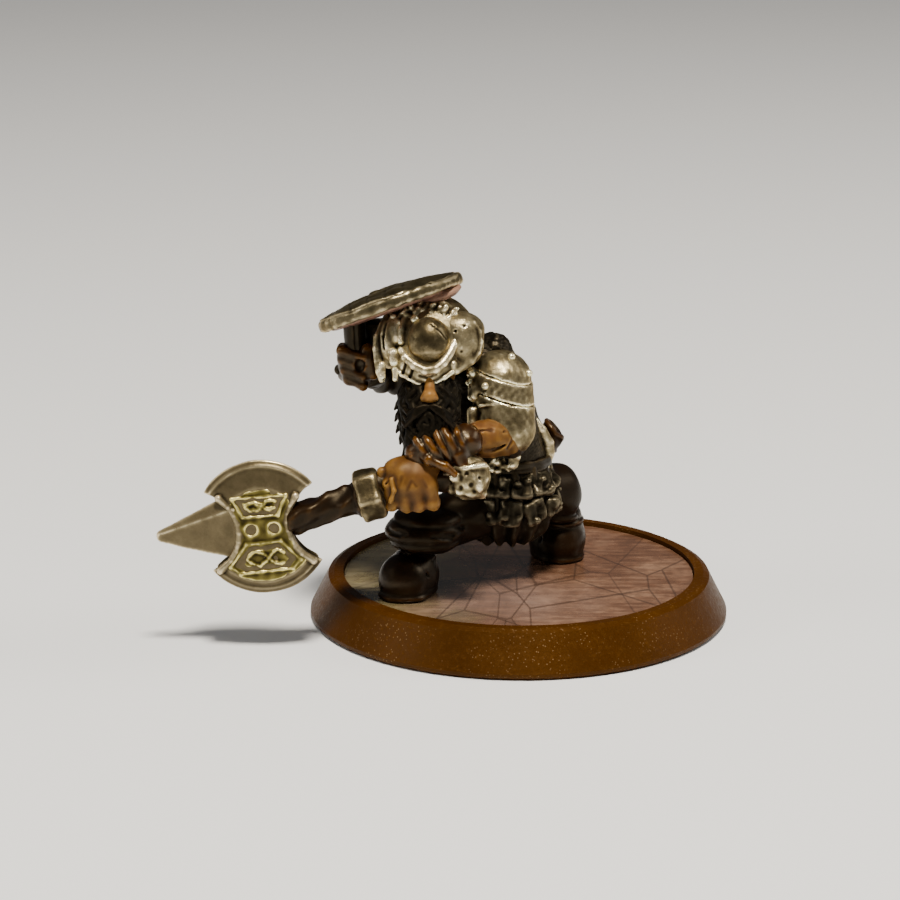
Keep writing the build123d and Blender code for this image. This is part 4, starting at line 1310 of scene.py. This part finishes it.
@piece("mail_collar", MAIL, "mail_paint", "shoulder_spine", margin=0.5, step=MEDIUM)
def shoulder_spine(clay):
    """The bunched mail collar behind the head."""
    left, right = NAPE + (-2.2, 2.0, 0.6), NAPE + (1.2, -0.6, 2.0)
    clay.limb(left, 1.45, right, 1.45)
    for t in (0.2, 0.45, 0.7, 0.9):
        clay.ring(left + (right - left) * t, right - left, 1.45, 0.22, blend=0.15)
    clay.relief_map(lambda x, y, z: links(x, y, z, 0.55, 0.07))
    clay.rough(0.8, 0.08, 137)


@piece("short_cape", CLOTH, "cloth_paint", "mantle", margin=2.2, step=MEDIUM)
def mantle(clay):
    clay.limb(WAIST + (0.1, 1.2, -0.4), 3.3, CHEST + (-0.3, 1.5, 1.6), 3.75)
    clay.limb(CHEST + (-0.3, 1.5, 1.6), 3.75, NAPE + (-0.3, 1.3, -0.6), 2.9, blend=0.4)
    spine = (NAPE - WAIST) / np.linalg.norm(NAPE - WAIST)
    front = np.array([-0.6, -0.8, 0.0])
    clay.trim(WAIST + (0.1, 0.9, 0), front - front.dot(spine) * spine, blend=0.3)
    clay.trim(NAPE + (0, 0, 1.2), (0, 0, 1), blend=0.3)

    def folds(x, y, z):
        angle = np.arctan2(y - WAIST[1] - 1.2, x - WAIST[0] - 0.1)
        hang = np.clip((24 - z) / 12, 0, 1)
        return 0.30 * hang * np.sin(9 * angle + 0.35 * (z - 14)) + 0.06 * waves(x, y, z, 1.2, 139)
    clay.relief_map(folds)


@piece("cape_edge", STEEL, "steel_paint", "mantle_trim", margin=0.9)
def mantle_trim(clay):
    route = [(2.5, -1.1, -1.5), (3.05, -0.7, -0.6), (3.45, -0.4, 0.5), (3.35, -0.5, 1.5),
             (2.75, -0.8, 2.7), (2.25, -1.0, 3.5)]
    points = [WAIST + p for p in route]
    clay.path(points, [0.34, 0.44, 0.48, 0.46, 0.42, 0.32], blend=0.1)
    clay.rough(0.7, 0.03, 149)


@piece("belt_strap", CLOTH, "leather_paint", "belt", margin=0.5, step=MEDIUM)
def belt(clay):
    clay.ring(WAIST, (0, 0, 1), 3.3, 0.45, blend=0.1)
    for lift in (-0.4, 0.35):
        clay.ring(WAIST + (0, 0, lift), (0, 0, 1), 3.58, 0.14, blend=0.1)
    clay.rough(0.9, 0.08, 151)


@piece("belt_fittings", STEEL, "steel_paint", "belt_buckle",
       corners=(WAIST + (-3.2, -5.6, -2.0), WAIST + (2.2, -1.8, 4.2)), margin=0)
def belt_buckle(clay):
    """The hanging end of the belt: a worn steel tongue beside a knot of small fittings."""
    hook = [(0.1, -4.0, 2.6), (0.4, -4.2, 2.0), (0.5, -4.35, 1.3), (0.35, -4.4, 0.6), (0.0, -4.3, 0.2)]
    clay.path([WAIST + p for p in hook], [0.34, 0.46, 0.5, 0.42, 0.25], blend=0.1)
    for dx, dz, size in ((-1.0, 0.7, 0.42), (-0.4, 0.35, 0.36), (-1.5, 0.2, 0.34), (-0.9, -0.1, 0.3)):
        clay.ball(WAIST + (dx, -4.0, dz), (size * 1.2, 0.4, size), blend=0.25)
    clay.limb(WAIST + (-0.6, -3.9, 1.4), 0.2, WAIST + (-0.4, -4.0, 0.5), 0.24)
    clay.rough(0.6, 0.08, 157)


@piece("drinking_horn", BROWN, "leather_paint", "belt_horn", margin=0.9)
def belt_horn(clay):
    tip, bend = WAIST + (2.4, 2.6, -2.4), WAIST + (2.9, 2.8, -0.2)
    mouth = WAIST + (3.8, 2.9, 1.5)
    clay.path([tip, bend, mouth], [0.55, 0.95, 1.15], blend=0.3)
    way = (mouth - bend) / np.linalg.norm(mouth - bend)
    clay.trim(mouth + way * 0.35, way + 0.5 * RIGHT, blend=0.1)
    clay.ring(mouth + way * 0.2, way + 0.5 * RIGHT, 0.98, 0.25, blend=0.1)
    clay.ball(mouth + way * 0.75, (0.8, 0.8, 0.8), cut=True, blend=0.1)
    clay.ring(bend + way * 0.5, way, 1.0, 0.16, blend=0.1)
    clay.rough(0.7, 0.05, 163)


@piece("skirt_folds", CLOTH, "cloth_paint", "skirt", margin=0.6, step=MEDIUM)
def skirt(clay):
    clay.limb(HIPS + (0, 0, -0.3), 4.1, WAIST, 3.45)
    clay.trim((0, 0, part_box("skirt")[0][2] / MM), (0, 0, -1))

    def folds(x, y, z):
        angle = np.arctan2(y - HIPS[1], x - HIPS[0])
        return 0.26 * np.sin(13 * angle + 0.5 * np.sin(z)) + 0.10 * waves(x, y, z, 1.1, 167)
    clay.relief_map(folds)


PLATE_ROWS = (              # height, reach from the hips' axis, lean, turns in degrees
    (12.15, 3.85, 34, range(-130, 231, 30)),
    (9.95, 4.35, 6, range(-115, 246, 30)),
)
LEG_TURNS = ((205, 245), (35, 75))   # where the thighs take the lower row's place


@piece("skirt_armour_plates", DARK_PLATES, "steel_paint", "skirt_plates",
       corners=(HIPS - 6.2, HIPS + 6.2), margin=0, step=MEDIUM)
def skirt_plates(clay):
    """Two rows of small square plates, each with a chipped, notched face."""
    rng = np.random.default_rng(173)
    for row, (height, reach, lean, turns) in enumerate(PLATE_ROWS):
        for turn in turns:
            if row and any(a < turn % 360 < b for a, b in LEG_TURNS):
                continue
            angle = math.radians(turn)
            out = np.array([math.cos(angle), math.sin(angle), 0.0])
            tall = math.radians(lean)
            normal = out * math.cos(tall) + (0, 0, math.sin(tall))
            up = -out * math.sin(tall) + (0, 0, math.cos(tall))
            side = np.cross(up, normal)
            spin = rng.uniform(-0.28, 0.28)
            axes = np.array([side * math.cos(spin) + up * math.sin(spin),
                             up * math.cos(spin) - side * math.sin(spin), normal])
            centre = HIPS + out * reach + (0, 0, height - HIPS[2])
            size = rng.uniform(0.88, 1.2, 2)
            clay.block(centre, (size[0], size[1], 0.36), axes, 0.34, blend=0.1)
            face = centre + normal * 0.42
            bend = side * rng.uniform(-0.5, 0.5)
            clay.path([face - up * 0.8 + bend, face - bend, face + up * 0.8 + bend], 0.07,
                      blend=0.2, cut=True)
            for _ in range(4):
                chip = face + side * rng.uniform(-0.8, 0.8) + up * rng.uniform(-0.8, 0.8)
                clay.ball(chip, rng.uniform(0.15, 0.36), cut=rng.random() < 0.6, blend=0.3)
    clay.rough(0.9, 0.11, 179)


# ---- Legs ----
@piece("trouser_front", TROUSERS, "cloth_paint", "front_leg", margin=0.6)
def front_leg(clay):
    clay.limb(FRONT_HIP, 2.7, FRONT_KNEE + (0.8, 0.6, 0.2), 2.2)
    clay.ball(FRONT_KNEE + (0, 0, 0.1), (3.35, 3.1, 1.55), blend=0.5)
    clay.ball(FRONT_KNEE + (0.1, -0.1, -0.75), (3.0, 2.8, 1.05), blend=0.15)
    clay.ball(FRONT_KNEE + (0.3, 0.1, 1.15), (2.9, 2.7, 0.95), blend=0.15)
    clay.limb(FRONT_KNEE, 1.6, FRONT_ANKLE + (0, 0, 0.4), 1.35, blend=0.3)
    rng = np.random.default_rng(181)
    for k in range(9):
        angle = math.radians(rng.uniform(170, 340))
        out = np.array([math.cos(angle), math.sin(angle), 0])
        z = rng.uniform(-0.9, 1.3)
        across = np.array([-out[1], out[0], rng.uniform(-0.5, 0.2)])
        middle = FRONT_KNEE + out * (3.2, 2.95, 0) + (0, 0, z)
        clay.path([middle - across * 0.9, middle + out * 0.1, middle + across * 0.9], 0.14,
                  blend=0.18, cut=True)
    clay.rough(1.0, 0.06, 191)


@piece("trouser_rear", TROUSERS, "cloth_paint", "rear_leg", margin=0.5)
def rear_leg(clay):
    clay.limb(REAR_HIP, 2.55, REAR_KNEE, 2.1)
    clay.ball(REAR_KNEE, (2.25, 2.4, 2.7), blend=0.4)
    clay.ring(REAR_KNEE + (0, 0, -1.9), (0.1, 0.1, 1), 1.65, 0.42, blend=0.2)
    clay.rough(1.3, 0.06, 193)


def boot(clay, foot, reach, ankle, radius, ankle_r):
    """A round-toed boot from heel to toe along reach, with a thick sole and a crease."""
    reach = np.array(reach)
    clay.limb(foot + reach, radius - 0.15, foot - reach, radius)
    clay.limb(foot + (0.3, 0.4, 0.4), ankle_r + 0.3, ankle, ankle_r, blend=0.5)
    clay.ring(ankle + (0, 0, -0.1), (0, 0, 1), ankle_r, 0.2, blend=0.15)
    sole = foot * (1, 1, 0) + (0, 0, DISC_TOP + SOLE_LIFT)
    clay.limb(sole + reach * 1.05, radius * 0.94, sole - reach * 0.9, radius * 0.93, blend=0.2,
              flat=0.3)
    way = reach / np.linalg.norm(reach)
    crease = foot + way * radius * 0.2
    side = np.array([way[1], -way[0], 0])
    clay.path([crease + side * radius * 0.9 + (0, 0, 0.5), crease + (0, 0, radius * 0.98),
               crease - side * radius * 0.9 + (0, 0, 0.5)], 0.12, blend=0.2, cut=True)
    clay.trim((0, 0, DISC_TOP - 0.02), (0, 0, -1), blend=0.02)


@piece("boot_front", BROWN, "leather_paint", "front_boot", margin=0.6)
def front_boot(clay):
    boot(clay, FRONT_FOOT, (-0.3, -0.6, 0), FRONT_ANKLE, 2.35, 1.35)
    clay.rough(1.2, 0.03, 197)


@piece("boot_rear", BROWN, "leather_paint", "rear_boot", margin=0.6)
def rear_boot(clay):
    boot(clay, REAR_FOOT, (0.2, -0.3, 0), REAR_SHIN, 2.3, 1.9)
    clay.rough(1.2, 0.03, 199)


# ---- Base: the two CAD nodes keep their own meshes ----
def ring_plastic():
    """Amber-brown plastic with a fine spark-eroded skin, with painted glints: pale specks mixed into its
    colour in patches.
    """
    material, tree, shader, coords = new_material("base_plastic")
    cloud = noise(tree, coords, 120, 3)
    grain = noise(tree, coords, 2600, 4, 0.7)
    speck = add_node(tree, "ShaderNodeTexVoronoi", Scale=3300)
    link(tree, coords, speck.inputs["Vector"])
    colour = ramp(tree, cloud, [(0.3, (0.034, 0.0108, 0.0002)), (0.7, (0.051, 0.0168, 0.0003))])
    colour = mix(tree, span(tree, grain, 0.55, 0.75, 0, 0.45), colour, (0.095, 0.036, 0.003))
    # Painted glints: pale specks in the base colour, in noise patches, stand for light glinting off the
    # grain.
    glint_patch = span(tree, noise(tree, coords, 230, 3), 0.42, 0.62, 0.0, 1.0)
    dot = span(tree, speck.outputs["Distance"], 0.10, 0.24, 1.0, 0.0)
    painted_glint = math_node(tree, "MULTIPLY", dot, math_node(tree, "MULTIPLY", glint_patch, 0.3))
    link(tree, mix(tree, painted_glint, colour, (0.40, 0.27, 0.13)), shader.inputs["Base Color"])
    link(tree, span(tree, grain, 0.3, 0.7, 0.32, 0.55), shader.inputs["Roughness"])
    shader.inputs["Specular IOR Level"].default_value = 0.14
    shader.inputs["Specular Tint"].default_value = (1.0, 0.8, 0.5, 1.0)
    bumped(tree, shader, grain, 0.35, 0.06)
    return material


def disc_print():
    """A varnished print of worn stone slabs: pinkish, streaked, with thin dark cracks. Its left side
    turns olive as a painted reflection of the figure, and a pale patch at the front is a painted sheen of
    the lamp.
    """
    material, tree, shader, coords = new_material("flagstone_print")

    def stretched(turn, along, across):
        mapping = add_node(tree, "ShaderNodeMapping", Rotation=(0, 0, math.radians(turn)),
                           Scale=(along, across, 1))
        link(tree, coords, mapping.inputs["Vector"])
        return mapping.outputs["Vector"]

    def cracks(vector, scale, width, strength):
        edge = add_node(tree, "ShaderNodeTexVoronoi", feature="DISTANCE_TO_EDGE", Scale=scale)
        link(tree, vector, edge.inputs["Vector"])
        return span(tree, edge.outputs["Distance"], width * 0.3, width, strength, 0.0)
    place = add_node(tree, "ShaderNodeSeparateXYZ")
    link(tree, coords, place.inputs["Vector"])
    cloud = noise(tree, coords, 150, 5, 0.6)
    streak = noise(tree, stretched(28, 250, 1400), 1, 4, 0.6)
    fleck = noise(tree, coords, 1300, 4, 0.7)
    tone = math_node(tree, "ADD", math_node(tree, "MULTIPLY", cloud, 0.55),
                     math_node(tree, "MULTIPLY", streak, 0.45))
    pink = ramp(tree, tone, [(0.34, (0.060, 0.027, 0.016)), (0.5, (0.135, 0.066, 0.038)),
                             (0.66, (0.27, 0.16, 0.105))])
    olive = ramp(tree, tone, [(0.34, (0.075, 0.058, 0.022)), (0.5, (0.16, 0.13, 0.062)),
                              (0.66, (0.30, 0.26, 0.16))])
    # Painted reflection: the print turns olive toward its left side, where the figure is reflected in the
    # glossy disc.
    reach = math_node(tree, "ADD", place.outputs["X"],
                      math_node(tree, "MULTIPLY", math_node(tree, "SUBTRACT", cloud, 0.5), 0.02))
    colour = mix(tree, span(tree, reach, -0.011, -0.004, 0, 1), olive, pink)
    colour = mix(tree, span(tree, fleck, 0.4, 0.62, 0.35, 0.0), colour, (0.045, 0.024, 0.016))
    # Painted sheen: a pale, greyer patch near the front centre stands for the lamp's sheen on the
    # varnish.
    away = add_node(tree, "ShaderNodeVectorMath", operation="DISTANCE")
    link(tree, coords, away.inputs[0])
    away.inputs[1].default_value = (-0.001, -0.008, 0.003)
    pale = math_node(tree, "MULTIPLY", span(tree, away.outputs["Value"], 0.002, 0.009, 0.4, 0.0), cloud)
    colour = mix(tree, pale, colour, (0.42, 0.33, 0.31))
    for turn, squash, scale, width, strength, dark in (
            (40, 0.45, 110, 0.012, 0.6, (0.030, 0.016, 0.011)),
            (-28, 0.35, 95, 0.009, 0.55, (0.030, 0.016, 0.011)),
            (75, 0.4, 80, 0.007, 0.5, (0.034, 0.018, 0.012))):
        lines = cracks(stretched(turn, 1.0, squash), scale, width, strength)
        colour = mix(tree, lines, colour, dark)
    link(tree, colour, shader.inputs["Base Color"])
    link(tree, span(tree, cloud, 0.3, 0.7, 0.2, 0.34), shader.inputs["Roughness"])
    shader.inputs["Coat Weight"].default_value = 0.3
    shader.inputs["Coat Roughness"].default_value = 0.2
    bumped(tree, shader, fleck, 0.12, 0.03)
    return material


def base():
    for node, material in (("base_rim", ring_plastic()), ("base_disc", disc_print())):
        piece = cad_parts[node]
        piece.data.materials.clear()
        piece.data.materials.append(material)


# ---- Floor, light and camera ----
def matte(name, colour, rough):
    material, tree, shader, coords = new_material(name)
    tone = noise(tree, coords, 6, 2)
    link(tree, ramp(tree, tone, [(0.0, tuple(c * 0.99 for c in colour)), (1.0, colour)]),
         shader.inputs["Base Color"])
    shader.inputs["Roughness"].default_value = rough
    return material


def floor():
    mesh = bpy.data.meshes.new("floor")
    half, back, drop = 1.6, 1.4, -0.00005
    mesh.from_pydata([(-half, -half, drop), (half, -half, drop), (half, back, drop), (-half, back, drop)],
                     [], [(0, 1, 2, 3)])
    piece = bpy.data.objects.new("floor", mesh)
    bpy.context.scene.collection.objects.link(piece)
    piece.data.materials.append(matte("floor_paper", (0.84, 0.87, 0.92), 0.9))


def area_light(name, place, size, power, colour, target=(-0.005, 0, 0.012)):
    data = bpy.data.lights.new(name, "AREA")
    data.shape = "RECTANGLE"
    data.size, data.size_y = size
    data.energy = power
    data.color = colour
    lamp = bpy.data.objects.new(name, data)
    lamp.location = place
    lamp.rotation_euler = (Vector(target) - Vector(place)).to_track_quat("-Z", "Y").to_euler()
    bpy.context.scene.collection.objects.link(lamp)


def lights():
    area_light("key", (0.03, -0.17, 0.42), (0.08, 0.07), 3.8, (1.0, 0.91, 0.77))
    area_light("side", (0.36, 0.06, 0.24), (0.12, 0.16), 0.5, (1.0, 0.94, 0.84))
    area_light("left", (-0.38, -0.12, 0.22), (0.16, 0.16), 0.45, (1.0, 0.94, 0.84))
    world = bpy.data.worlds.new("soft_room")
    world.use_nodes = True
    world.node_tree.nodes["Background"].inputs["Color"].default_value = (0.95, 0.96, 1.0, 1)
    world.node_tree.nodes["Background"].inputs["Strength"].default_value = 0.08
    bpy.context.scene.world = world


def camera():
    """A long lens a little above the figure, as a table photograph is taken."""
    distance, height_angle = 0.2783, math.radians(18.67)
    turn, drop = math.radians(-1.29), math.radians(18.67 - 2.86)
    data = bpy.data.cameras.new("camera")
    data.lens = 128
    data.sensor_width = 36
    data.clip_start = 0.01
    item = bpy.data.objects.new("camera", data)
    item.location = (0, -distance * math.cos(height_angle), distance * math.sin(height_angle))
    look = Vector((math.sin(turn) * math.cos(drop), math.cos(turn) * math.cos(drop), -math.sin(drop)))
    item.rotation_euler = look.to_track_quat("-Z", "Y").to_euler()
    bpy.context.scene.collection.objects.link(item)
    bpy.context.scene.camera = item


for build in PIECES:
    build()
base()
floor()
lights()
camera()
